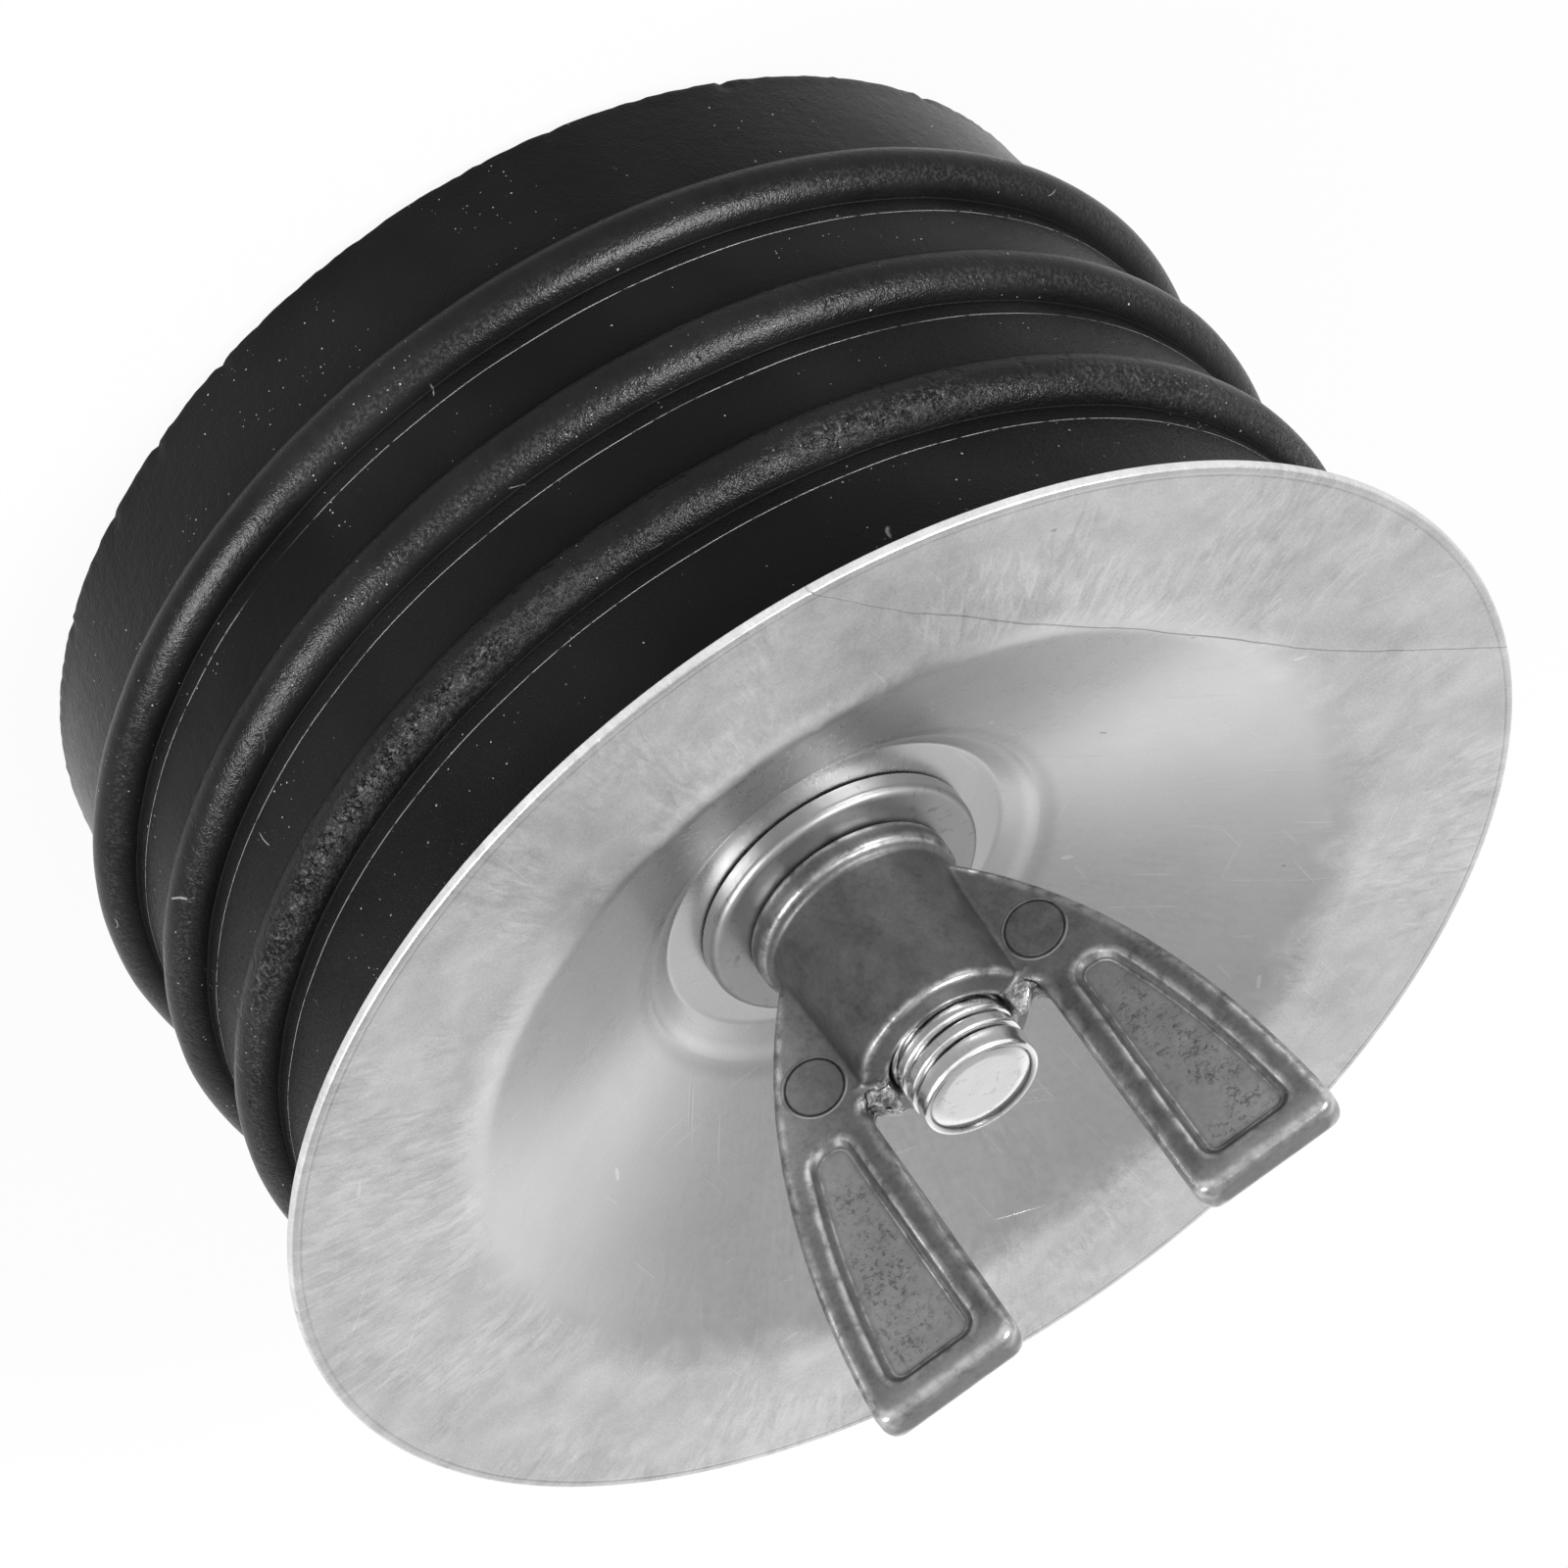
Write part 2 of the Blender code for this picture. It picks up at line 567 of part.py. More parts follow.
def wing_data(side):
    data = bmesh.new()
    outline = wing_outline()
    prism(data, side, outline, -WING_THICKNESS / 2, outline, WING_THICKNESS / 2)
    bmesh.ops.recalc_face_normals(data, faces=data.faces)
    return data


def panel_cutter_data():
    """Four tapered blocks, one for each face of each wing."""
    data = bmesh.new()
    floor_outline = panel_outline(PANEL_BORDER + PANEL_WALL_SLOPE)
    mouth_outline = panel_outline(PANEL_BORDER - PANEL_WALL_SLOPE)
    floor_y = WING_THICKNESS / 2 - PANEL_DEPTH
    mouth_y = WING_THICKNESS / 2 + PANEL_DEPTH
    for side in (1, -1):
        for face in (1, -1):
            prism(data, side, floor_outline, face * floor_y, mouth_outline, face * mouth_y)
    bmesh.ops.recalc_face_normals(data, faces=data.faces)
    return data


def add_wing_nut(material):
    nut = add_object("wing_nut", hub_data(), material, NUT_Z)
    for side, name in ((1, "right_wing_helper"), (-1, "left_wing_helper")):
        wing = add_object(name, wing_data(side), material, NUT_Z)
        bevel = wing.modifiers.new("Edge bevel", "BEVEL")
        bevel.width = WING_EDGE_BEVEL
        bevel.segments = 2
        bevel.limit_method = "ANGLE"
        bevel.angle_limit = math.radians(BEVEL_FROM_DEGREES)
        add_boolean(nut, "UNION", wing)
    cutter = add_object("panel_cutter", panel_cutter_data(), material, NUT_Z)
    add_boolean(nut, "DIFFERENCE", cutter)
    return nut


def group_under_empty(name, z, items):
    """Parents the pieces to an empty on the bolt's axis and leaves them where they are."""
    holder = bpy.data.objects.new(name, None)
    holder.location.z = z
    bpy.context.scene.collection.objects.link(holder)
    for item in items:
        item.parent = holder
        item.matrix_parent_inverse = Matrix.Translation((0, 0, -z))


def build():
    clear_scene()
    galvanised = make_material("galvanised_sheet", (0.62, 0.62, 0.62), 0.36, 0.9)
    rubber = make_material("black_rubber", (0.012, 0.012, 0.012), 0.55, 0.0)
    bolt_zinc = make_material("bright_zinc", (0.78, 0.78, 0.79), 0.22, 1.0)
    washer_zinc = make_material("washer_zinc", (0.74, 0.74, 0.74), 0.28, 1.0)
    cast_zinc = make_material("cast_zinc", (0.30, 0.30, 0.31), 0.45, 0.85)
    rear_steel = make_material("rear_galvanised_sheet", (0.60, 0.60, 0.60), 0.38, 0.9)
    seal_rubber = make_material("seal_rubber", (0.02, 0.02, 0.02), 0.6, 0.0)
    fixed = [
        add_rear_plate(rear_steel),
        add_rubber_ring(rubber),
        add_carriage_bolt(bolt_zinc),
        add_seal_washer(seal_rubber),
    ]
    sliding = [
        add_front_plate(galvanised),
        add_thrust_washer(washer_zinc),
        add_wing_nut(cast_zinc),
    ]
    group_under_empty("rear_group", 0.0, fixed)
    group_under_empty("front_group", FRONT_DISC_Z, sliding)


build()
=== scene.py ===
# Pipe test plug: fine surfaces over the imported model, with a camera and a white studio.
# The frame is the model's: +Z runs along the bolt to the nut, +X along the nut's wings. Lengths are metres,
# but the dictionaries that outlines are drawn from hold millimetres, unless a value says * mm.

import math
from functools import partial

import bpy
import numpy as np
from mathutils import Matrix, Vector


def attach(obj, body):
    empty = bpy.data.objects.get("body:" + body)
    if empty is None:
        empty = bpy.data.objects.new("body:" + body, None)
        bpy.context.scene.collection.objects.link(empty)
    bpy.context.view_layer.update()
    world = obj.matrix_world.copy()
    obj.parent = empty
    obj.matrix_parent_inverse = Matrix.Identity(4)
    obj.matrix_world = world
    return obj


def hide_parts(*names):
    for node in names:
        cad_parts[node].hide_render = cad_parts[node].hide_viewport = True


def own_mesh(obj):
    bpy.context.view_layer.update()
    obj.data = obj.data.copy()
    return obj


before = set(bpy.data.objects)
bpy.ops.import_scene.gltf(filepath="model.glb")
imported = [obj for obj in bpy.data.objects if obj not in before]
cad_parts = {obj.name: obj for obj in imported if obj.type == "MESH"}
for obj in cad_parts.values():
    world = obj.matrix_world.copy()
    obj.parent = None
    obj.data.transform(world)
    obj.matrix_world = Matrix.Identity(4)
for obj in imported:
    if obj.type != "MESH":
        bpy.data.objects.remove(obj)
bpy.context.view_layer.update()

mm = 0.001
fullTurn = 2 * math.pi


# Paths and grids

def roundedPath(corners, arcSteps=6, closed=True):
    # Each corner (x, z, fillet), in mm, becomes an arc that touches both of its sides.
    points = []
    for index, (x, z, fillet) in enumerate(corners):
        here = np.array([x, z], float)
        if fillet <= 0 or (not closed and index in (0, len(corners) - 1)):
            points.append(here[None])
            continue
        before = np.array(corners[index - 1][:2]) - here
        after = np.array(corners[(index + 1) % len(corners)][:2]) - here
        before, after = before / np.linalg.norm(before), after / np.linalg.norm(after)
        half = math.acos(np.clip(before @ after, -1, 1)) / 2
        middle = (before + after) / np.linalg.norm(before + after)
        centre = here + middle * fillet / math.sin(half)
        run, swing = fillet / math.tan(half), math.pi - 2 * half
        first, last = here + before * run - centre, here + after * run - centre
        t = np.linspace(0, 1, arcSteps + 1)[:, None]
        spoke = (np.sin((1 - t) * swing) * first + np.sin(t * swing) * last) / math.sin(swing)
        points.append(centre + spoke)
    return np.concatenate(points) * mm


def fillRuns(points, step, closed=False):
    # Straight runs get points in between, so that no run is longer than the step, in mm.
    ends = np.roll(points, -1, 0) if closed else points[1:]
    runs = [np.linspace(a, b, int(np.linalg.norm(b - a) / (step * mm)) + 1, endpoint=False)
            for a, b in zip(points, ends)]
    return np.concatenate(runs + ([] if closed else [points[-1:]]))


def arc(centreR, centreZ, radius, fromDegrees, toDegrees, steps):
    # centre + radius * (cos a, sin a), in mm, for a from one angle to the other.
    a = np.radians(np.linspace(fromDegrees, toDegrees, steps))
    return np.stack([centreR + radius * np.cos(a), centreZ + radius * np.sin(a)], 1) * mm


def ripple(angles, seed, lowest, highest, fade=1.0):
    # Sum of cos(k a + phase) / k**fade over whole numbers k, so it closes on itself. Its peak is about 1.
    k = np.arange(lowest, highest + 1)
    phases = np.random.default_rng(seed).uniform(0, fullTurn, len(k))
    weights = 1.0 / k**fade
    total = np.cos(np.multiply.outer(angles, k) + phases) @ weights
    return total / np.sqrt((weights**2).sum() * 2)


def smoothStep(value, low, high):
    # 3 t**2 - 2 t**3, with t the share of the way from low to high.
    t = np.clip((value - low) / (high - low), 0, 1)
    return t * t * (3 - 2 * t)


def angleSteps(count):
    return np.arange(count) * fullTurn / count


def turned(radius, height, angles):
    # (r cos a, r sin a, z) for every row (r, z) of the outline and every angle.
    radius, height, angles = np.broadcast_arrays(radius, height, angles)
    return np.stack([radius * np.cos(angles), radius * np.sin(angles), height], -1)


def gridFaces(rows, columns, closeRows):
    # Quads between neighbours (i, j), (i, j+1), (i+1, j+1), (i+1, j). Columns close on themselves.
    i = np.arange(rows if closeRows else rows - 1)[:, None] * columns
    above = (i + columns) % (rows * columns)
    j = np.arange(columns)[None]
    beside = (j + 1) % columns
    return np.stack([i + j, i + beside, above + beside, above + j], -1).reshape(-1, 4).tolist()


def gridMesh(name, points, closeRows=True):
    # Rows of points become quads. Open ends are closed by a fan of triangles round their middle.
    rows, columns = points.shape[:2]
    vertices, faces = points.reshape(-1, 3), gridFaces(rows, columns, closeRows)
    if not closeRows:
        poles = np.stack([points[0].mean(0), points[-1].mean(0)])
        vertices = np.concatenate([vertices, poles])
        j = np.arange(columns)
        beside, top = (j + 1) % columns, (rows - 1) * columns
        faces += np.stack([beside, j, np.full(columns, rows * columns)], -1).tolist()
        faces += np.stack([top + j, top + beside, np.full(columns, rows * columns + 1)], -1).tolist()
    return meshObject(name, vertices, faces)


def turnedMesh(name, outline, segments):
    # The closed outline, in rows (r, z), carried once round Z.
    return gridMesh(name, turned(outline[:, :1], outline[:, 1:], angleSteps(segments)))


def placeObject(name, data):
    made = bpy.data.objects.new(name, data)
    bpy.context.scene.collection.objects.link(made)
    return made


def meshObject(name, vertices, faces):
    mesh = bpy.data.meshes.new(name)
    mesh.from_pydata(vertices.tolist(), [], faces)
    mesh.shade_smooth()
    return placeObject(name, mesh)


def placesOf(mesh):
    places = np.empty(len(mesh.vertices) * 3, np.float32)
    mesh.vertices.foreach_get("co", places)
    return places.reshape(-1, 3).astype(float)


def storeValues(mesh, name, values):
    kind = "FLOAT" if values.ndim == 1 else "FLOAT_VECTOR"
    layer = mesh.attributes.new(name, kind, "POINT")
    layer.data.foreach_set("value" if kind == "FLOAT" else "vector", values.astype(np.float32).ravel())


def dress(piece, body, node, material):
    piece.data.materials.append(material)
    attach(piece, body)
    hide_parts(node)
    print("made", piece.name, len(piece.data.polygons), "faces")


# Material building blocks: each adds a few nodes and gives back the output to use

def startMaterial(name, roughness, metallic):
    material = bpy.data.materials.new(name)
    material.use_nodes = True
    shader = material.node_tree.nodes["Principled BSDF"]
    shader.inputs["Metallic"].default_value = metallic
    shader.inputs["Roughness"].default_value = roughness
    return material, material.node_tree, shader


def addNode(tree, kind, inputs, output=0, **settings):
    made = tree.nodes.new(kind)
    for key, value in settings.items():
        setattr(made, key, value)
    for key, value in inputs.items():
        if isinstance(value, bpy.types.NodeSocket):
            tree.links.new(value, made.inputs[key])
        else:
            made.inputs[key].default_value = value
    return made.outputs[output]


def maths(tree, operation, *values, clamp=False):
    return addNode(tree, "ShaderNodeMath", dict(enumerate(values)), operation=operation, use_clamp=clamp)


def vectors(tree, operation, *values, output=0):
    return addNode(tree, "ShaderNodeVectorMath", dict(enumerate(values)), output, operation=operation)


def fadeOver(tree, value, low, high, toLow=0.0, toHigh=1.0):
    inputs = {"Value": value, "From Min": low, "From Max": high, "To Min": toLow, "To Max": toHigh}
    return addNode(tree, "ShaderNodeMapRange", inputs, interpolation_type="SMOOTHSTEP")


def grain(tree, place, scale, detail=3.0, roughness=0.55, distortion=0.0):
    inputs = {"Vector": place, "Scale": scale, "Detail": detail, "Roughness": roughness,
              "Distortion": distortion}
    return addNode(tree, "ShaderNodeTexNoise", inputs)


def blendOf(tree, part, first, second):
    return addNode(tree, "ShaderNodeMix", {0: part, 2: first, 3: second}, data_type="FLOAT")


def chain(tree, operation, *values):
    # The operation carried through all the values, from left to right.
    total = values[0]
    for value in values[1:]:
        total = maths(tree, operation, total, value)
    return total


def addUp(tree, *values):
    return chain(tree, "ADD", *values)


def times(tree, *values):
    return chain(tree, "MULTIPLY", *values)


def largest(tree, *values):
    return chain(tree, "MAXIMUM", *values)


def addLayers(tree, base, *layers):
    # base plus the product of each layer, which is a value and its amount, or more than one value.
    return addUp(tree, base, *[times(tree, *layer) for layer in layers])


def dimmed(tree, tone, mask, amount):
    # tone * (1 - mask * amount).
    return times(tree, tone, maths(tree, "SUBTRACT", 1.0, times(tree, mask, amount)))


def objectPlace(tree):
    return addNode(tree, "ShaderNodeTexCoord", {}, output="Object")


def storedValue(tree, name, output="Fac"):
    return addNode(tree, "ShaderNodeAttribute", {}, output=output, attribute_name=name)


def splitOf(tree, place):
    return addNode(tree, "ShaderNodeSeparateXYZ", {0: place}).node.outputs


def flatOf(tree, place):
    return vectors(tree, "MULTIPLY", place, (1.0, 1.0, 0.0))


def lengthOf(tree, vector):
    return vectors(tree, "LENGTH", vector, output="Value")


def share(tree, value, amount):
    # (value - 0.5) * amount, so that a noise adds as much as it takes away.
    return times(tree, maths(tree, "SUBTRACT", value, 0.5), amount)


def lineAt(tree, value, middle, width):
    # 1 on the line where value is middle, falling to 0 at the width on either side.
    away = maths(tree, "ABSOLUTE", maths(tree, "SUBTRACT", value, middle))
    return fadeOver(tree, away, 0.0, width, 1.0, 0.0)


def bandsAt(tree, value, bands):
    # The largest of the lines at each (middle, width), in mm.
    return largest(tree, *[lineAt(tree, value, middle * mm, width * mm) for middle, width in bands])


def turnedPlace(tree, place, turnDegrees):
    rotation = (0, 0, math.radians(turnDegrees))
    return addNode(tree, "ShaderNodeMapping", {"Vector": place, "Rotation": rotation})


def scratches(tree, place, turnDegrees, perMetre, length, rarity):
    # Noise squeezed across and stretched along a turned direction. Only its peaks count as marks.
    stretch = (1.0 / length, perMetre, 60.0)
    squeezed = vectors(tree, "MULTIPLY", turnedPlace(tree, place, turnDegrees), stretch)
    return fadeOver(tree, grain(tree, squeezed, 1.0, 1.5, 0.5, 0.15), rarity, rarity + 0.05)


def specksOf(tree, place, perMetre, size, rarity):
    # Round specks on some of the cells of a Voronoi pattern. The size is a share of one cell.
    cells = addNode(tree, "ShaderNodeTexVoronoi", {"Vector": place, "Scale": perMetre}).node
    chosen = addNode(tree, "ShaderNodeSeparateColor", {0: cells.outputs["Color"]}).node
    reach = times(tree, chosen.outputs[1], size)
    near = maths(tree, "LESS_THAN", cells.outputs["Distance"], reach)
    return times(tree, near, maths(tree, "GREATER_THAN", chosen.outputs[0], rarity))


def strokesOf(tree, place, turnDegrees, perMetre, aspect, size, rarity):
    # The same specks drawn out along a turned direction, aspect times as long as they are wide.
    drawnOut = vectors(tree, "MULTIPLY", turnedPlace(tree, place, turnDegrees), (1.0 / aspect, 1.0, 1.0))
    return specksOf(tree, drawnOut, perMetre, size, rarity)


def withSurface(material, look, tone, rough, relief):
    # Tone, roughness, and the relief as a bump of the look's depth and strength.
    tree = material.node_tree
    depth, strength = look["relief"]
    bump = addNode(tree, "ShaderNodeBump", {"Height": relief, "Distance": depth, "Strength": strength})
    for name, source in (("Base Color", tone), ("Roughness", rough), ("Normal", bump)):
        tree.links.new(source, tree.nodes["Principled BSDF"].inputs[name])
    return material


# The camera stands where the photo was taken from, rolled so that the nut hangs down in the picture

cameraLook = {
    "lensMm": 180.0,
    "sensorMm": 36.0,
    "place": (-0.0006, -0.50279635, 0.36876316),
    "turnDegrees": (-50.49576726, -29.13560551, 158.21040509),
}
cameraData = bpy.data.cameras.new("photoCamera")
cameraData.lens, cameraData.sensor_width = cameraLook["lensMm"], cameraLook["sensorMm"]
cameraData.clip_start = 0.01
camera = placeObject("photoCamera", cameraData)
camera.location = cameraLook["place"]
camera.rotation_euler = [math.radians(turn) for turn in cameraLook["turnDegrees"]]
bpy.context.scene.camera = camera
bpy.context.scene.view_settings.view_transform = "Standard"
print("camera ready")


# Galvanised sheet of both discs

sheetLook = {
    "flangeGrey": 0.76,
    "dishGrey": 0.69,
    "flangeInnerRadius": 35.5 * mm,
    "dishOuterRadius": 39.5 * mm,
    "raggedBy": 5.0 * mm,
    "rimRadius": 53.0 * mm,
    "rimLineInset": 0.75 * mm,
    "seatRadius": 16.5 * mm,
    "seatRingGap": 1.3 * mm,
    "flangeRoughness": 0.38,
    "dishRoughness": 0.29,
    "edgeTint": 0.90,
    "scratches": ((24, 2600, 0.010, 0.70), (-51, 2300, 0.013, 0.71), (82, 2900, 0.008, 0.71)),
    "nicks": ((15, 420.0, 7.0, 0.10, 0.86), (-62, 380.0, 6.0, 0.10, 0.88)),
    "pits": (33, 330.0, 1.9, 0.085, 0.80),
    "smears": (58, 150.0, 2.4, 0.10, 0.84),
    "creaseMiddle": (-372.3 * mm, -256.6 * mm, 0.0),
    "creaseRadius": 415.7 * mm,
    "creaseWander": 2.0 * mm,
    "creaseDepth": 1.0,
    "toneLimits": (0.05, 0.92),
    "relief": (0.03 * mm, 0.6),
}


def sheetMaterial(name, look):
    material, tree, shader = startMaterial(name, look["dishRoughness"], 1.0)
    shader.inputs["Specular Tint"].default_value = (*[look["edgeTint"]] * 3, 1.0)
    place = objectPlace(tree)
    noise = partial(grain, tree, place)
    flat = flatOf(tree, place)
    radius = lengthOf(tree, flat)
    mottle = noise(260.0, 4.0, 0.60, 0.4)
    clouds = noise(62.0, 3.0, 0.5)
    grit = noise(4300.0, 2.0, 0.7)
    satin = noise(1500.0, 3.0, 0.6)
    raggedRadius = addUp(tree, radius, share(tree, mottle, look["raggedBy"]))
    flange = fadeOver(tree, raggedRadius, look["flangeInnerRadius"], look["dishOuterRadius"])
    # Streaks run outwards: fine round the disc and long along its radius, in a few patches
    outwards = vectors(tree, "NORMALIZE", flat)
    fineRound = addNode(tree, "ShaderNodeVectorMath", {0: outwards, "Scale": 60.0}, operation="SCALE")
    alongRadius = addNode(tree, "ShaderNodeCombineXYZ", {"Z": times(tree, radius, 330.0)})
    streaks = grain(tree, vectors(tree, "ADD", fineRound, alongRadius), 1.0, 4.0, 0.65, 0.8)
    patches = fadeOver(tree, noise(95.0, 2.0, 0.5, 0.5), 0.44, 0.58)
    brushed = times(tree, share(tree, streaks, 1.0), patches)
    marks = largest(tree, *[scratches(tree, place, *kind) for kind in look["scratches"]])
    nicks = largest(tree, *[strokesOf(tree, place, *kind) for kind in look["nicks"]])
    pits = strokesOf(tree, place, *look["pits"])
    smears = strokesOf(tree, place, *look["smears"])
    flangeTone = addUp(tree, look["flangeGrey"], share(tree, mottle, 0.42), share(tree, clouds, 0.26),
                       share(tree, grit, 0.34), times(tree, brushed, 0.56))
    dishTone = addUp(tree, look["dishGrey"], share(tree, clouds, 0.20), share(tree, satin, 0.05),
                     times(tree, brushed, 0.10))
    fromRim = maths(tree, "SUBTRACT", look["rimRadius"], radius)
    rimLine = lineAt(tree, fromRim, look["rimLineInset"], 0.20 * mm)
    # The crease is part of a wide circle that wanders a little: a dent that is also drawn as a painted dark
    # line of shade, with a strip of painted shade above it
    wavy = addUp(tree, vectors(tree, "DISTANCE", flat, look["creaseMiddle"], output="Value"),
                 share(tree, clouds, look["creaseWander"]))
    creaseDentAndShade = times(tree, lineAt(tree, wavy, look["creaseRadius"], 0.13 * mm),
                   fadeOver(tree, radius, 33.0 * mm, 37.0 * mm, 0.0, look["creaseDepth"]))
    above = times(tree, lineAt(tree, wavy, look["creaseRadius"] - 1.6 * mm, 1.8 * mm), flange)
    # Round the seat: a painted highlight on its fillet and a line of painted shade just outside it
    seatPaintedHighlight = lineAt(tree, radius, look["seatRadius"], 0.7 * mm)
    seatPaintedShade = lineAt(tree, radius, look["seatRadius"] + look["seatRingGap"], 1.0 * mm)
    seatHighlightAndShade = addUp(tree, times(tree, seatPaintedHighlight, 0.10), times(tree, seatPaintedShade, -0.09))
    tone = addUp(tree, blendOf(tree, flange, dishTone, flangeTone), seatHighlightAndShade)
    tone = addLayers(tree, tone, (marks, 0.04), (nicks, 0.16), (pits, -0.22), (smears, -0.10),
                     (rimLine, -0.14), (creaseDentAndShade, -0.26), (above, -0.05 * look["creaseDepth"]))
    darkest, palest = look["toneLimits"]
    tone = maths(tree, "MINIMUM", largest(tree, tone, darkest), palest)
    rough = addUp(tree, blendOf(tree, flange, look["dishRoughness"], look["flangeRoughness"]),
                  share(tree, streaks, 0.12), share(tree, satin, 0.10), share(tree, mottle, 0.10))
    rugged = addUp(tree, times(tree, grit, 0.35), times(tree, mottle, 0.9), brushed)
    relief = addLayers(tree, times(tree, rugged, flange), (satin, 0.18), (marks, -0.4), (pits, -1.0),
                       (creaseDentAndShade, -1.6), (rimLine, -1.2))
    return withSurface(material, look, tone, rough, relief)


def sheetOutline(corners, thickness, edge, step):
    # The face path p, and the same path moved by the thickness along its normal n: p - t n. The rim and
    # the hole's edge get quarter circles of the edge radius, in mm.
    face = fillRuns(roundedPath(corners, 9, closed=False), step)
    along = np.gradient(face, axis=0)
    along /= np.linalg.norm(along, axis=1)[:, None]
    back = face + np.stack([-along[:, 1], along[:, 0]], 1) * thickness * mm
    (rimR, rimZ, _), (holeR, holeZ, _) = corners[0], corners[-1]
    keep = (face[:, 0] < (rimR - edge) * mm) & (face[:, 0] > (holeR + edge) * mm)
    low, high = edge - thickness, -edge
    rim = [arc(rimR - edge, rimZ + low, edge, -90, 0, 5),
           arc(rimR - edge, rimZ + high, edge, 0, 90, 5)]
    hole = [arc(holeR + edge, holeZ + high, edge, 90, 180, 4),
            arc(holeR + edge, holeZ + low, edge, 180, 270, 4)]
    return np.concatenate([*rim, face[keep], *hole, back[keep][::-1]])


frontPlate = {
    "faceZ": 55.8 * mm,
    "thickness": 0.9,
    "edgeRadius": 0.28,
    "cornersMm": [(53.0, 0.0, 0), (38.1, 0.0, 10), (17.1, -11.1, 1.6), (14.6, -12.9, 0.9),
                  (5.6, -12.9, 0)],
    "segments": 320,
    "stepMm": 0.75,
    "waveHeight": 0.07 * mm,
    "wavesOver": (15.0 * mm, 35.0 * mm),
}


def makeFrontPlate(look):
    outline = sheetOutline(look["cornersMm"], look["thickness"], look["edgeRadius"], look["stepMm"])
    angles = angleSteps(look["segments"])
    radius, height = outline[:, :1], outline[:, 1:] + look["faceZ"]
    # The flange waves up and down by the wave height times (r / R) squared
    wave = ripple(angles, 3, 2, 7) * look["waveHeight"]
    height = height + wave * (radius / outline[:, 0].max()) ** 2 * smoothStep(radius, *look["wavesOver"])
    return gridMesh("frontPlateSkin", turned(radius, height, angles))


galvanised = sheetMaterial("galvanisedSheet", sheetLook)
dress(makeFrontPlate(frontPlate), "clamp", "front_plate", galvanised)

rearPlate = {
    "thickness": 0.9,
    "edgeRadius": 0.28,
    "cornersMm": [(43.5, 0.0, 0), (36.0, 0.0, 10), (17.1, -10.2, 1.6), (14.6, -12.0, 0.9),
                  (5.3, -12.0, 0)],
    "segments": 288,
    "stepMm": 0.75,
    "squareFrom": 9.0 * mm,
    "squareHalf": 5.3 * mm,
    "waveHeight": 0.05 * mm,
    "wavesOver": (12.0 * mm, 30.0 * mm),
}


def squareShare(angles, power):
    # How much farther a rounded square reaches than its inner circle: (|cos a|**p + |sin a|**p)**(-1/p).
    return (np.abs(np.cos(angles)) ** power + np.abs(np.sin(angles)) ** power) ** (-1 / power)


def makeRearPlate(look):
    outline = sheetOutline(look["cornersMm"], look["thickness"], look["edgeRadius"], look["stepMm"])
    outline = outline[::-1] * (1, -1)  # the rear disc faces down, so the outline is turned over
    angles = angleSteps(look["segments"])
    radius, height = outline[:, :1], outline[:, 1:]
    nearHole = 1 - smoothStep(radius, look["squareHalf"], look["squareFrom"])
    wave = np.abs(ripple(angles, 8, 2, 6)) * look["waveHeight"]
    height = height + wave * smoothStep(radius, *look["wavesOver"]) * (radius / outline[:, 0].max()) ** 2
    radius = radius * (1 + (squareShare(angles, 14) - 1) * nearHole)
    return gridMesh("rearPlateSkin", turned(radius, height, angles))


rearSheetLook = {
    **sheetLook,
    "flangeInnerRadius": 33.5 * mm,
    "dishOuterRadius": 37.5 * mm,
    "rimRadius": 43.5 * mm,
    "creaseDepth": 0.0,
}
rearSheet = sheetMaterial("rearGalvanisedSheet", rearSheetLook)
dress(makeRearPlate(rearPlate), "fixed_frame", "rear_plate", rearSheet)


# Rubber sleeve: three round ribs, each with a square foot to the rear and a small fillet to the front

rubberLook = {
    "bodyRadius": 46.8,
    "rearRadius": 45.4,
    "boreRadius": 34.0,
    "rearZ": 0.95,
    "frontZ": 54.86,
    "ribCrestsMm": (15.1, 27.1, 39.1),
    "beadRadius": 2.4,
    "beadRise": 2.3,
    "filletRadius": 0.10,
    "segments": 480,
    "stepMm": 0.5,
    "sag": 0.10 * mm,
    "unevenness": 0.03 * mm,
    "drawnIn": 0.10 * mm,
    "trimmedEdge": (1.3 * mm, 2.6 * mm),
    "edgeLift": 0.12 * mm,
    "flashReach": 0.07 * mm,
    "nickDepth": 0.26 * mm,
    "nickDegrees": 0.4,
    "nicksDegrees": (205, 231, 250, 271, 288.6, 299.3, 308.5, 322),
    "ribDent": (331.9, 16.9, 0.6, 0.45),
    "dentDepth": 0.35 * mm,
    "squashTo": 0.8885,
    "squashFrom": (0.0, 0.0, 0.0012),
    "grey": 0.0016,
    "roughness": 0.25,
    "refraction": 1.16,
    "fineLine": (3.86, 0.075),
    "ribFootShade": ((-2.42, 0.22), (2.50, 0.30)),
    "shoulder": (1.5, 1.0),
    "tornBand": (1.2, 1.4),
    "dust": ((900.0, 0.080, 0.85), (380.0, 0.045, 0.78)),
    "dustCrowd": (2200.0, 0.17, 0.55),
    "relief": (0.11 * mm, 0.8),
}


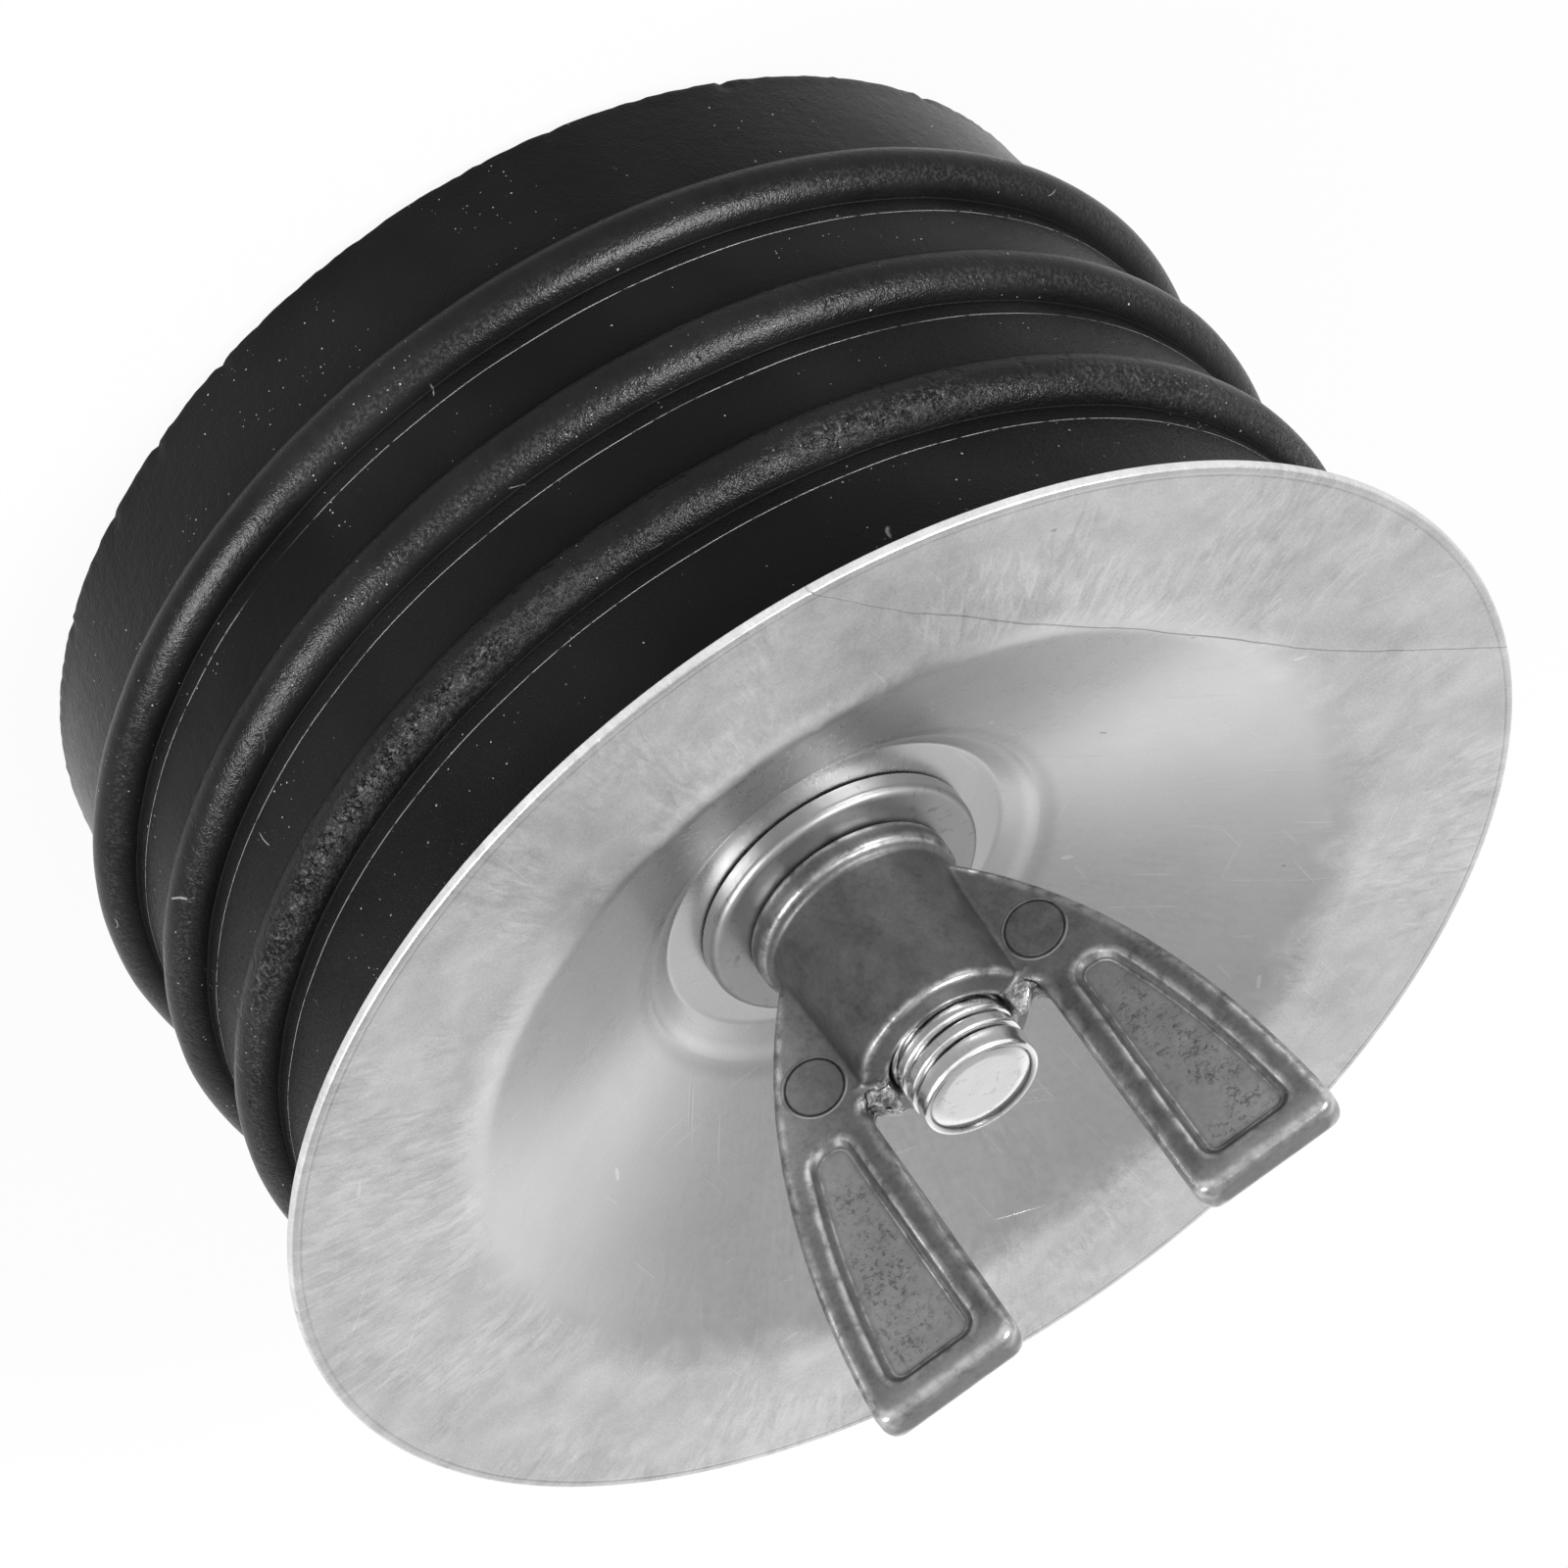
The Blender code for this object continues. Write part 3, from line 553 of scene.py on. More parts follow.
def ribPath(look, crest):
    # Body, up the bead's circle, over its crest and down a hollow fillet that touches bead and body.
    beadMiddle = look["bodyRadius"] + look["beadRise"] - look["beadRadius"]
    sunk = look["bodyRadius"] - beadMiddle
    reach = look["beadRadius"] + look["filletRadius"]
    run = math.sqrt(reach**2 - (look["filletRadius"] + sunk) ** 2)
    touch = math.degrees(math.atan2(look["filletRadius"] + sunk, run))
    foot = math.degrees(math.asin(sunk / look["beadRadius"]))
    bead = arc(beadMiddle, crest, look["beadRadius"], foot - 90, 90 - touch, 20)
    hollowMiddle = look["bodyRadius"] + look["filletRadius"]
    hollow = arc(hollowMiddle, crest + run, look["filletRadius"], 270 - touch, 180, 9)
    return np.concatenate([bead, hollow])


def makeRubberSleeve(look):
    body, rear, bore = look["bodyRadius"], look["rearRadius"], look["boreRadius"]
    outside = [arc(rear - 0.2, look["rearZ"] + 0.2, 0.2, -90, 0, 4)]
    outside += [ribPath(look, crest) for crest in look["ribCrestsMm"]]
    outside += [arc(body - 0.5, look["frontZ"] - 0.5, 0.5, 0, 90, 5)]
    outside = fillRuns(np.concatenate(outside), look["stepMm"])
    inside = np.array([(38.35, look["frontZ"]), (bore, 52.3), (bore, 3.4), (36.2, look["rearZ"])]) * mm
    inside = fillRuns(np.concatenate([outside[-1:], inside, outside[:1]]), 2.6)[1:-1]
    outline = np.concatenate([outside, inside])
    angles = angleSteps(look["segments"])
    radius, height = outline[:, :1], outline[:, 1:]
    outer = smoothStep(radius, 44.0 * mm, 45.0 * mm)
    middle = smoothStep(height, 4.0 * mm, 12.0 * mm) * (1 - smoothStep(height, 48.0 * mm, 54.0 * mm))
    broad, small = ripple(angles, 11, 2, 5), ripple(angles + height * 20, 12, 9, 40, 0.5)
    sag = look["sag"] * broad + look["unevenness"] * small
    # The rear edge is trimmed by hand: a ragged lip with a few torn nicks
    edge = 1 - smoothStep(height, *look["trimmedEdge"])
    torn = ripple(angles, 21, 70, 230, 0.1) * 0.5 + ripple(angles, 22, 5, 20, 0.2) * 0.25
    ragged = look["flashReach"] * (0.5 + torn)
    nicks = np.radians(look["nicksDegrees"])[:, None]
    away = np.abs((angles - nicks + math.pi) % fullTurn - math.pi) / math.radians(look["nickDegrees"])
    ragged = ragged - look["nickDepth"] * np.exp(-(away**2)).sum(0)
    moved = radius + outer * (middle * sag - look["drawnIn"] + edge * ragged)
    # A dent in the rear rib: depth * exp(-(turn / its width)**2 - (height / its width)**2)
    turn, level, turnWidth, levelWidth = look["ribDent"]
    sideways = ((np.degrees(angles) - turn + 180) % 360 - 180) / turnWidth
    upwards = (height / mm - level) / levelWidth
    moved = moved - look["dentDepth"] * np.exp(-(sideways**2) - upwards**2)
    lift = outer * edge * np.abs(ripple(angles, 23, 20, 120, 0.3)) * look["edgeLift"]
    return gridMesh("rubberSleeve", turned(moved, height + lift, angles))


def rubberMaterial(look):
    material, tree, shader = startMaterial("mouldedBlackRubber", look["roughness"], 0.0)
    shader.inputs["IOR"].default_value = look["refraction"]
    place = storedValue(tree, "restPlace", "Vector")
    noise = partial(grain, tree, place)
    height = splitOf(tree, place)["Z"]
    radius = lengthOf(tree, flatOf(tree, place))
    crests = look["ribCrestsMm"]
    fine = noise(3800.0, 2.0, 0.6)
    coarse = noise(900.0, 4.0, 0.6)
    broad = noise(60.0, 2.0, 0.5)
    onRib = fadeOver(tree, radius, 47.3 * mm, 48.2 * mm)
    frontShare = fadeOver(tree, height, 18.0 * mm, 40.0 * mm)
    # A fine moulding line in front of each rib, broken in places
    fineLine, lineWidth = look["fineLine"]
    lines = bandsAt(tree, height, [(crest + fineLine, lineWidth) for crest in crests])
    dotted = times(tree, lines, fadeOver(tree, noise(1500.0, 1.0, 0.5), 0.22, 0.50),
                   fadeOver(tree, noise(70.0, 1.0, 0.5), 0.24, 0.46))
    # Painted shade in the corners where each rib meets the body, to the rear and to the front
    ribFootShade = bandsAt(tree, height, [(crest + foot, width) for crest in crests for foot, width in look["ribFootShade"]])
    # Dust is single bright specks. Lint is thin curls, where one noise crosses its middle and another peaks
    crowd = fadeOver(tree, noise(120.0, 1.0, 0.5), 0.50, 0.60)
    dust = largest(tree, *[specksOf(tree, place, *kind) for kind in look["dust"]],
                   times(tree, specksOf(tree, place, *look["dustCrowd"]), crowd))
    curl = lineAt(tree, noise(130.0, 0.5, 0.5), 0.5, 0.0035)
    lint = times(tree, curl, fadeOver(tree, noise(260.0, 0.0), 0.745, 0.78))
    # The ribs' shoulders get a fine grey grain: chafing, and partly a painted sheen where the lamps'
    # highlight runs
    beyond, halfBand = look["shoulder"]
    shoulders = bandsAt(tree, height, [(crest + beyond, halfBand) for crest in crests])
    chafingAndSheen = times(tree, shoulders, onRib, fadeOver(tree, noise(3200.0, 2.0, 0.6), 0.44, 0.64),
                   fadeOver(tree, noise(45.0, 1.0, 0.5), 0.30, 0.60, 0.35, 1.0))
    # The front rib's shoulder is torn in patches: bright crumbs and thin cracks
    beyond, halfBand = look["tornBand"]
    torn = times(tree, bandsAt(tree, height, [(crests[-1] + beyond, halfBand)]),
                 fadeOver(tree, noise(55.0, 1.0, 0.5), 0.40, 0.55))
    crumbs = times(tree, torn, fadeOver(tree, noise(2300.0, 4.0, 0.75), 0.48, 0.60))
    cracks = times(tree, torn, lineAt(tree, noise(480.0, 4.0, 0.7), 0.5, 0.030))
    # Painted glints: bright specks on the front land, near the plate
    paintedGlints = times(tree, specksOf(tree, place, 1500.0, 0.13, 0.72), fadeOver(tree, height, 43 * mm, 49 * mm))
    tone = addLayers(tree, look["grey"], (fadeOver(tree, broad, 0.35, 0.7), 0.002), (coarse, onRib, 0.003),
                     (dotted, 0.12), (chafingAndSheen, 0.008), (dust, 0.13), (lint, 0.09), (crumbs, 0.030),
                     (paintedGlints, 0.10))
    tone = dimmed(tree, dimmed(tree, tone, cracks, 0.9), ribFootShade, 0.85)
    rough = addUp(tree, look["roughness"], share(tree, coarse, 0.16), times(tree, ribFootShade, 0.4))
    pits = fadeOver(tree, noise(620.0, 3.0, 0.65), 0.30, 0.46)
    pits = blendOf(tree, times(tree, frontShare, onRib), 1.0, pits)
    sparkle = times(tree, noise(7000.0, 1.0, 0.5), addLayers(tree, 0.25, (frontShare, 0.5)))
    relief = addUp(tree, times(tree, fine, 0.42), times(tree, coarse, 0.70), sparkle)
    relief = addLayers(tree, relief, (pits, 1.2), (dotted, 1.0), (crumbs, 1.4), (cracks, -2.4))
    return withSurface(material, look, tone, rough, relief)


rubber = makeRubberSleeve(rubberLook)
storeValues(rubber.data, "restPlace", placesOf(rubber.data))
dress(rubber, "fixed_frame", "rubber_sleeve", rubberMaterial(rubberLook))
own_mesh(rubber)


# Carriage bolt: domed head, square neck, plain shank and a real helical thread

boltLook = {
    "headRadius": 11.97,
    "headBottom": 4.9,
    "headTop": 9.9,
    "rim": 0.8,
    "neckHalf": 5.0,
    "neckTop": 15.4,
    "shankRadius": 4.9,
    "threadFrom": 38.9,
    "threadRadius": 5.0,
    "threadDepth": 0.85,
    "pitch": 1.5,
    "end": 65.5,
    "endRadius": 4.30,
    "rimRadius": 4.70,
    "faceSunk": 0.12,
    "faceOff": 0.15,
    "collarRadius": 4.93,
    "collarLength": 1.05,
    "turnPhase": -0.68,
    "segments": 108,
    "rowMm": 0.085,
}


def threadHeight(turns):
    # Share of the thread's depth over one turn: a flat root, a straight flank up, a flat crest, a flank down.
    wave = 1 - np.abs(2 * (turns % 1) - 1)
    return np.sqrt(smoothStep(wave, 0.05, 0.50))


def makeBolt(look):
    # Every row is a circle of radius r at height z. The neck's rows are rounded squares, and the thread's
    # rows take their radius from the helix: root + depth * height(z / pitch - a / full turn).
    angles = angleSteps(look["segments"])
    rise = look["headTop"] - look["rim"] - look["headBottom"]
    dome = (look["headRadius"] ** 2 + rise**2) / (2 * rise)
    half = math.degrees(math.asin(look["headRadius"] / dome))
    head = arc(0, look["headBottom"] + dome, dome, -90, half - 90, 22)[1:]
    rim = arc(look["headRadius"] - 0.25, look["headTop"] - 0.25, 0.25, 0, 90, 4)
    top, neckHalf, shank = look["headTop"], look["neckHalf"], look["shankRadius"]
    under = np.array([(9.5, top), (8.0, top), (neckHalf + 0.15, top)]) * mm
    neck = np.array([(neckHalf, top + 0.15), (neckHalf, 12.0), (neckHalf, look["neckTop"] - 0.5)]) * mm
    shoulder = np.array([(shank, look["neckTop"]), (shank, 25.0), (shank, look["threadFrom"] - 0.8)]) * mm
    threadZ = np.arange(look["threadFrom"] - 0.4, look["end"] - 0.02, look["rowMm"])
    thread = np.stack([np.full(len(threadZ), look["threadRadius"]), threadZ], 1) * mm
    face = arc(look["rimRadius"] - 0.12, look["end"] - 0.12, 0.12, 40, 90, 4)
    sunk, inner = look["end"] - look["faceSunk"], look["endRadius"]
    flat = np.array([(inner + 0.16, look["end"] - 0.05), (inner + 0.10, sunk - 0.10),
                     (inner, sunk - 0.12), (inner - 0.08, sunk), (3.2, sunk + 0.005),
                     (2.2, sunk + 0.01), (1.2, sunk), (0.4, sunk + 0.01)]) * mm
    rows = [head, rim, under, neck, shoulder, thread, face, flat]
    outline = np.concatenate(rows)
    starts = np.cumsum([0] + [len(part) for part in rows])
    radius = np.repeat(outline[:, :1], len(angles), 1)
    height = np.repeat(outline[:, 1:], len(angles), 1)
    squareRows = slice(starts[2] + 2, starts[4])
    radius[squareRows] *= squareShare(angles, 16)
    threadRows = slice(starts[5], starts[6])
    z = height[threadRows] / mm
    turns = z / look["pitch"] - angles / fullTurn + look["turnPhase"]
    fade = smoothStep(z, look["threadFrom"] - 0.4, look["threadFrom"] + 1.2)
    cut = look["threadDepth"] * fade * (1 - threadHeight(turns))
    toEnd = look["end"] - z
    cut = cut * smoothStep(toEnd, look["collarLength"] - 0.15, look["collarLength"] + 0.5)
    opening, narrowing = look["collarRadius"] - look["rimRadius"], look["threadRadius"] - look["collarRadius"]
    point = look["rimRadius"] + 0.02 + opening * np.sqrt(np.clip(toEnd / 0.4, 0, 1))
    roll = look["threadRadius"] - narrowing * (1 - smoothStep(toEnd, 0.9, 1.8))
    radius[threadRows] = np.minimum(roll - cut, np.where(toEnd < 0.4, point, 9.0)) * mm
    radius[starts[7]:] -= look["faceOff"] * mm * np.sin(angles)  # the face is a little off the bolt's axis
    return gridMesh("carriageBolt", turned(radius, height, angles), closeRows=False)


boltZincLook = {
    "grey": 0.96,
    "roughness": 0.17,
    "smudge": 0.20,
    "grooveShade": 0.80,
    "darkest": 0.04,
    "relief": (0.02 * mm, 0.7),
}


def boltGrooveShade(tree, place, look):
    # Painted shade lies in the thread's grooves and in the groove round the end face, heavier towards +Y.
    _, sideways, height = splitOf(tree, place)
    end = look["end"]
    inGroove = fadeOver(tree, lengthOf(tree, flatOf(tree, place)), 4.35 * mm, 4.80 * mm, 1.0, 0.0)
    threadStart = fadeOver(tree, height, (look["threadFrom"] + 0.6) * mm, (look["threadFrom"] + 1.6) * mm)
    threadEnd = fadeOver(tree, height, (end - 0.8) * mm, (end - 0.5) * mm, 1.0, 0.0)
    inThread = times(tree, inGroove, threadStart, threadEnd)
    faceMiddle = vectors(tree, "ADD", place, (0.0, look["faceOff"] * mm, 0.0))
    fromFace = lengthOf(tree, flatOf(tree, faceMiddle))
    atFace = times(tree, lineAt(tree, fromFace, (look["endRadius"] + 0.05) * mm, 0.24 * mm),
                   fadeOver(tree, height, (end - 0.4) * mm, (end - 0.3) * mm),
                   fadeOver(tree, sideways, -3.0 * mm, 2.0 * mm, 0.45, 1.1))
    return largest(tree, inThread, atFace)


def zincMaterial(name, look):
    material, tree, shader = startMaterial(name, look["roughness"], 1.0)
    place = objectPlace(tree)
    noise = partial(grain, tree, place)
    cloud = noise(420.0, 4.0, 0.6, 0.4)
    fine = noise(2600.0, 3.0, 0.6)
    marks = largest(tree, scratches(tree, place, 35, 4200, 0.004, 0.68),
                    scratches(tree, place, -20, 3800, 0.005, 0.70))
    smudge = fadeOver(tree, noise(900.0, 3.0, 0.7, 0.8), 0.56, 0.72)
    tone = addLayers(tree, look["grey"] - 0.06, (cloud, 0.12))
    if look["grooveShade"]:
        tone = addLayers(tree, tone, (boltGrooveShade(tree, place, boltLook), -look["grooveShade"]))
    tone = maths(tree, "SUBTRACT", tone, times(tree, smudge, look["smudge"]), clamp=True)
    rough = addLayers(tree, look["roughness"] - 0.05, (cloud, 0.14), (marks, 0.08))
    relief = addLayers(tree, times(tree, cloud, 0.6), (fine, 0.3), (marks, -0.3))
    return withSurface(material, look, largest(tree, tone, look["darkest"]), rough, relief)


boltZinc = zincMaterial("brightBoltZinc", boltZincLook)
dress(makeBolt(boltLook), "fixed_frame", "carriage_bolt", boltZinc)


# Washers: one of thick plated steel under the nut, one of rubber over the bolt's head

washerLook = {
    "boreRadius": 5.4,
    "outerRadius": 11.65,
    "bottom": 43.04,
    "top": 44.92,
    "rollOver": 0.75,
    "burr": 0.15,
    "segments": 192,
}
washerZincLook = {**boltZincLook, "grey": 0.45, "roughness": 0.38, "smudge": 0.12, "grooveShade": 0.0}
sealLook = {
    "boreRadius": 7.47,
    "outerRadius": 9.97,
    "bottom": 9.93,
    "top": 11.96,
    "bulge": 0.22,
    "bulgeFromRadius": 8.7,
    "segments": 128,
}
sealRubberLook = {**rubberLook, "grey": 0.014, "ribCrestsMm": (90.0,)}  # no rib reaches the seal


def makeWasher(look):
    # A rectangle with its own fillet at each corner, turned about Z.
    inner, outer, low, high = look["boreRadius"], look["outerRadius"], look["bottom"], look["top"]
    corners = [(inner, low, 0.1), (outer, low, look["burr"]), (outer, high, look["rollOver"]),
               (inner, high, 0.25)]
    outline = fillRuns(roundedPath(corners, 8), 0.4, closed=True)
    return turnedMesh("thrustWasher", outline, look["segments"])


def makeSeal(look):
    # A square section whose outer side bows out by bulge * (1 - t**2), with t from -1 to 1 up the side.
    inner, outer, low, high = look["boreRadius"], look["outerRadius"] - 0.2, look["bottom"], look["top"]
    corners = [(inner, low, 0.2), (outer, low, 0.3), (outer, high, 0.3), (inner, high, 0.2)]
    outline = fillRuns(roundedPath(corners, 6), 0.2, closed=True)
    t = (outline[:, 1] / mm - (low + high) / 2) / ((high - low) / 2)
    outline[:, 0] += (outline[:, 0] > look["bulgeFromRadius"] * mm) * look["bulge"] * mm * (1 - t**2)
    return turnedMesh("sealWasher", outline, look["segments"])


washerZinc = zincMaterial("brightWasherZinc", washerZincLook)
dress(makeWasher(washerLook), "clamp", "thrust_washer", washerZinc)

seal = makeSeal(sealLook)
storeValues(seal.data, "restPlace", placesOf(seal.data))
dress(seal, "fixed_frame", "bolt_seal_washer", rubberMaterial(sealRubberLook))


# Wing nut: a turned hub and two cast wings, melted into one skin

nutLook = {
    "foot": 45.03,
    "footTop": 47.0,
    "hubTop": 60.9,
    "boreRadius": 5.15,
    "footRadius": 8.65,
    "hubRadius": 7.75,
    "mouthRadius": 5.45,
    "wingFrom": 47.6,
    "wingTop": 85.0,
    "rootX": 7.7,
    "guideX": 18.95,
    "tipX": 20.75,
    "insideX": 6.6,
    "innerX": 8.1,
    "halfThick": 1.7,
    "edgeRadius": 0.85,
    "tipRadius": 1.5,
    "panelBorder": 2.05,
    "panelFrom": 62.1,
    "panelTo": 82.95,
    "panelCorner": 1.7,
    "panelDepth": 0.62,
    "wallWidth": 0.75,
    "voxelMm": 0.2,
    "pinX": 10.2,
    "pinZ": 57.7,
    "pinRadius": 2.58,
    "curveFrom": 48.0,
    "hubSegments": 160,
    "arcPoints": 7,
    "facePoints": 60,
    "flashRings": ((60.0, 5.45, 7.9, -1.9, 1.9), (61.1, 5.45, 7.6, -1.3, 1.6),
                   (61.9, 5.5, 7.0, 0.1, 1.3), (62.6, 5.5, 6.2, 0.6, 1.0)),
    "smoothRounds": 3,
    "facesWithin": 1.75,
    "insetElsewhere": -5.0,
    "wearRounds": 6,
    "wearReach": 0.10 * mm,
}
castLook = {
    "grey": 0.058,
    "wornEdgeAndHighlight": 0.33,
    "pinRimAndHighlight": 0.22,
    "panelFloor": 0.088,
    "flash": 0.26,
    "crack": 0.30,
    "speckle": 0.15,
    "wingDarker": 0.030,
    "tipPaler": 0.12,
    "darkest": 0.03,
    "roughness": 0.34,
    "metallic": 0.9,
    "relief": (0.06 * mm, 0.8),
}


def wingEdge(look, z):
    # The outer edge is a quadratic curve from root to tip with one guide point level with the hub's top:
    # its height gives the share t, and its x is (1-t)**2 root + 2 t (1-t) guide + t**2 tip.
    root, guide, tip = look["curveFrom"], look["hubTop"], look["wingTop"]
    squared, linear = root - 2 * guide + tip, 2 * (guide - root)
    rise = np.maximum(z - root, 0)
    t = 2 * rise / (linear + np.sqrt(linear**2 + 4 * squared * rise))
    return (1 - t) ** 2 * look["rootX"] + 2 * t * (1 - t) * look["guideX"] + t**2 * look["tipX"]


def panelInset(look, x, z):
    # Distance inside the sunken panel's outline, in mm. Its corners are round: with q the shortfall of each
    # side's distance from the corner radius c, the inset is c - sqrt(sum of q squared).
    outer = wingEdge(look, z)
    slope = np.cos(np.arctan((wingEdge(look, z + 0.1) - outer) / 0.1))
    sides = [x - look["innerX"] - look["panelBorder"], (outer - x) * slope - look["panelBorder"],
             z - look["panelFrom"], look["panelTo"] - z]
    short = sum(np.clip(look["panelCorner"] - side, 0, None) ** 2 for side in sides)
    return look["panelCorner"] - np.sqrt(short)


def makeWing(look, side):
    # Level sections carried up the wing. Each is a rectangle with round corners, from the inner to the outer
    # edge, and both faces sink by the panel's depth where the inset grows from 0 to the wall's width.
    tip = look["wingTop"] - look["tipRadius"] * (1 - np.sin(np.linspace(0, math.pi / 2, 12)))
    z = np.concatenate([np.arange(look["wingFrom"], look["wingTop"] - look["tipRadius"], 0.22), tip])[:, None]
    pulled = np.clip(z - look["wingTop"] + look["tipRadius"], 0, look["tipRadius"])
    pulled = look["tipRadius"] - np.sqrt(look["tipRadius"] ** 2 - pulled**2)
    clearOfHub = smoothStep(z, look["hubTop"] - 0.9, look["hubTop"] + 1.2)
    low = look["insideX"] + (look["innerX"] - look["insideX"]) * clearOfHub
    inner, outer = low + pulled, np.maximum(wingEdge(look, z) - pulled, low + 0.6)
    over = np.clip(z - look["wingTop"] + look["edgeRadius"], 0, look["edgeRadius"])
    half = look["halfThick"] - look["edgeRadius"] + np.sqrt(look["edgeRadius"] ** 2 - over**2)
    corner = np.minimum(look["edgeRadius"], (outer - inner) * 0.48) * np.minimum(half / look["halfThick"], 1)
    quarter, run = np.linspace(0, math.pi / 2, look["arcPoints"]), np.linspace(0, 1, look["facePoints"])[1:-1]
    outerArc, innerArcs = np.ones(len(quarter)), np.zeros(2 * len(quarter))
    outwards = np.concatenate([outerArc, 1 - run, innerArcs, run, outerArc])
    swing = np.concatenate([quarter, np.full(len(run), math.pi / 2), quarter + math.pi / 2, quarter + math.pi,
                            np.full(len(run), 1.5 * math.pi), quarter + 1.5 * math.pi])
    x = inner + corner + outwards * (outer - inner - 2 * corner) + corner * np.cos(swing)
    upper = np.repeat([1, -1], len(swing) // 2)
    y = upper * (half - corner) + corner * np.sin(swing)
    sink = look["panelDepth"] * smoothStep(panelInset(look, x, z), 0.0, look["wallWidth"])
    y = y - np.sign(y) * np.minimum(sink, np.abs(y) * 0.8)
    points = np.stack([x * side, y * side, np.broadcast_to(z, x.shape)], -1) * mm
    return gridMesh("wingDraft", points, closeRows=False)


def makeHub(look):
    # A footed sleeve turned about the bore, with round edges and a top that slopes down outwards.
    bore, foot, hub, top = look["boreRadius"], look["footRadius"], look["hubRadius"], look["hubTop"]
    corners = [(bore, look["foot"], 0.2), (foot, look["foot"], 0.35), (foot, look["footTop"], 0.7),
               (hub + 0.05, look["footTop"] + 0.35, 0.4), (hub - 0.35, top - 0.6, 0.45),
               (look["mouthRadius"], top, 0.25), (bore, top - 0.6, 0.2)]
    outline = fillRuns(roundedPath(corners, 8), 0.4, closed=True)
    return turnedMesh("hubDraft", outline, look["hubSegments"])


def makeFlash(look, side):
    # A torn web of metal beside the bolt: oblong rings (z, x from, x to, y from, y to), in mm, that shrink
    # towards a point above the hub's top.
    points = [[(x * side, y * side, z) for x, y in ((a, c), (b, c), (b, d), (a, d))]
              for z, a, b, c, d in look["flashRings"]]
    return gridMesh("flashDraft", np.array(points) * mm, closeRows=False)


def meltTogether(name, drafts, voxel, rounds):
    # One closed skin round all the drafts, on a voxel grid, evened out by a few rounds of smoothing.
    vertices, faces, start = [], [], 0
    for draft in drafts:
        vertices.append(placesOf(draft.data))
        faces += [[corner + start for corner in face.vertices] for face in draft.data.polygons]
        start += len(draft.data.vertices)
        bpy.data.objects.remove(draft, do_unlink=True)
    joined = meshObject(name + "Draft", np.concatenate(vertices), faces)
    remesh = joined.modifiers.new("remesh", "REMESH")
    remesh.mode, remesh.voxel_size, remesh.use_smooth_shade = "VOXEL", voxel, True
    smooth = joined.modifiers.new("smooth", "SMOOTH")
    smooth.factor, smooth.iterations = 0.5, rounds
    finished = joined.evaluated_get(bpy.context.evaluated_depsgraph_get())
    mesh = bpy.data.meshes.new_from_object(finished)
    mesh.name = name
    bpy.data.objects.remove(joined, do_unlink=True)
    mesh.shade_smooth()
    return placeObject(name, mesh)


def edgeWear(mesh, rounds, reach):
    # How far each point stands out of the mean of its neighbours, averaged a few times: more than 0 on
    # edges, less than 0 in hollows.
    places = placesOf(mesh)
    edges = np.empty(len(mesh.edges) * 2, np.int32)
    mesh.edges.foreach_get("vertices", edges)
    a, b = edges.reshape(-1, 2).T
    count = np.bincount(a, minlength=len(places)) + np.bincount(b, minlength=len(places))

    def neighbourMean(values):
        total = [np.bincount(a, column[b], len(places)) + np.bincount(b, column[a], len(places))
                 for column in values.T]
        return np.stack(total, 1) / count[:, None]

    normals = np.empty(len(places) * 3, np.float32)
    mesh.vertices.foreach_get("normal", normals)
    normals = normals.reshape(-1, 3)
    calm = places
    for _ in range(rounds):
        calm = neighbourMean(calm)
    out = ((places - calm) * normals).sum(1, keepdims=True) / reach
    for _ in range(2):
        out = (out + neighbourMean(out)) / 2
    return out[:, 0]


def pinDistance(tree, alongWing, height, look):
    # Distance in the plane of X and Z from the nearer of the two ejector pins' marks.
    side = maths(tree, "SUBTRACT", alongWing, look["pinX"] * mm)
    rise = maths(tree, "SUBTRACT", height, look["pinZ"] * mm)
    return maths(tree, "SQRT", addUp(tree, times(tree, side, side), times(tree, rise, rise)))


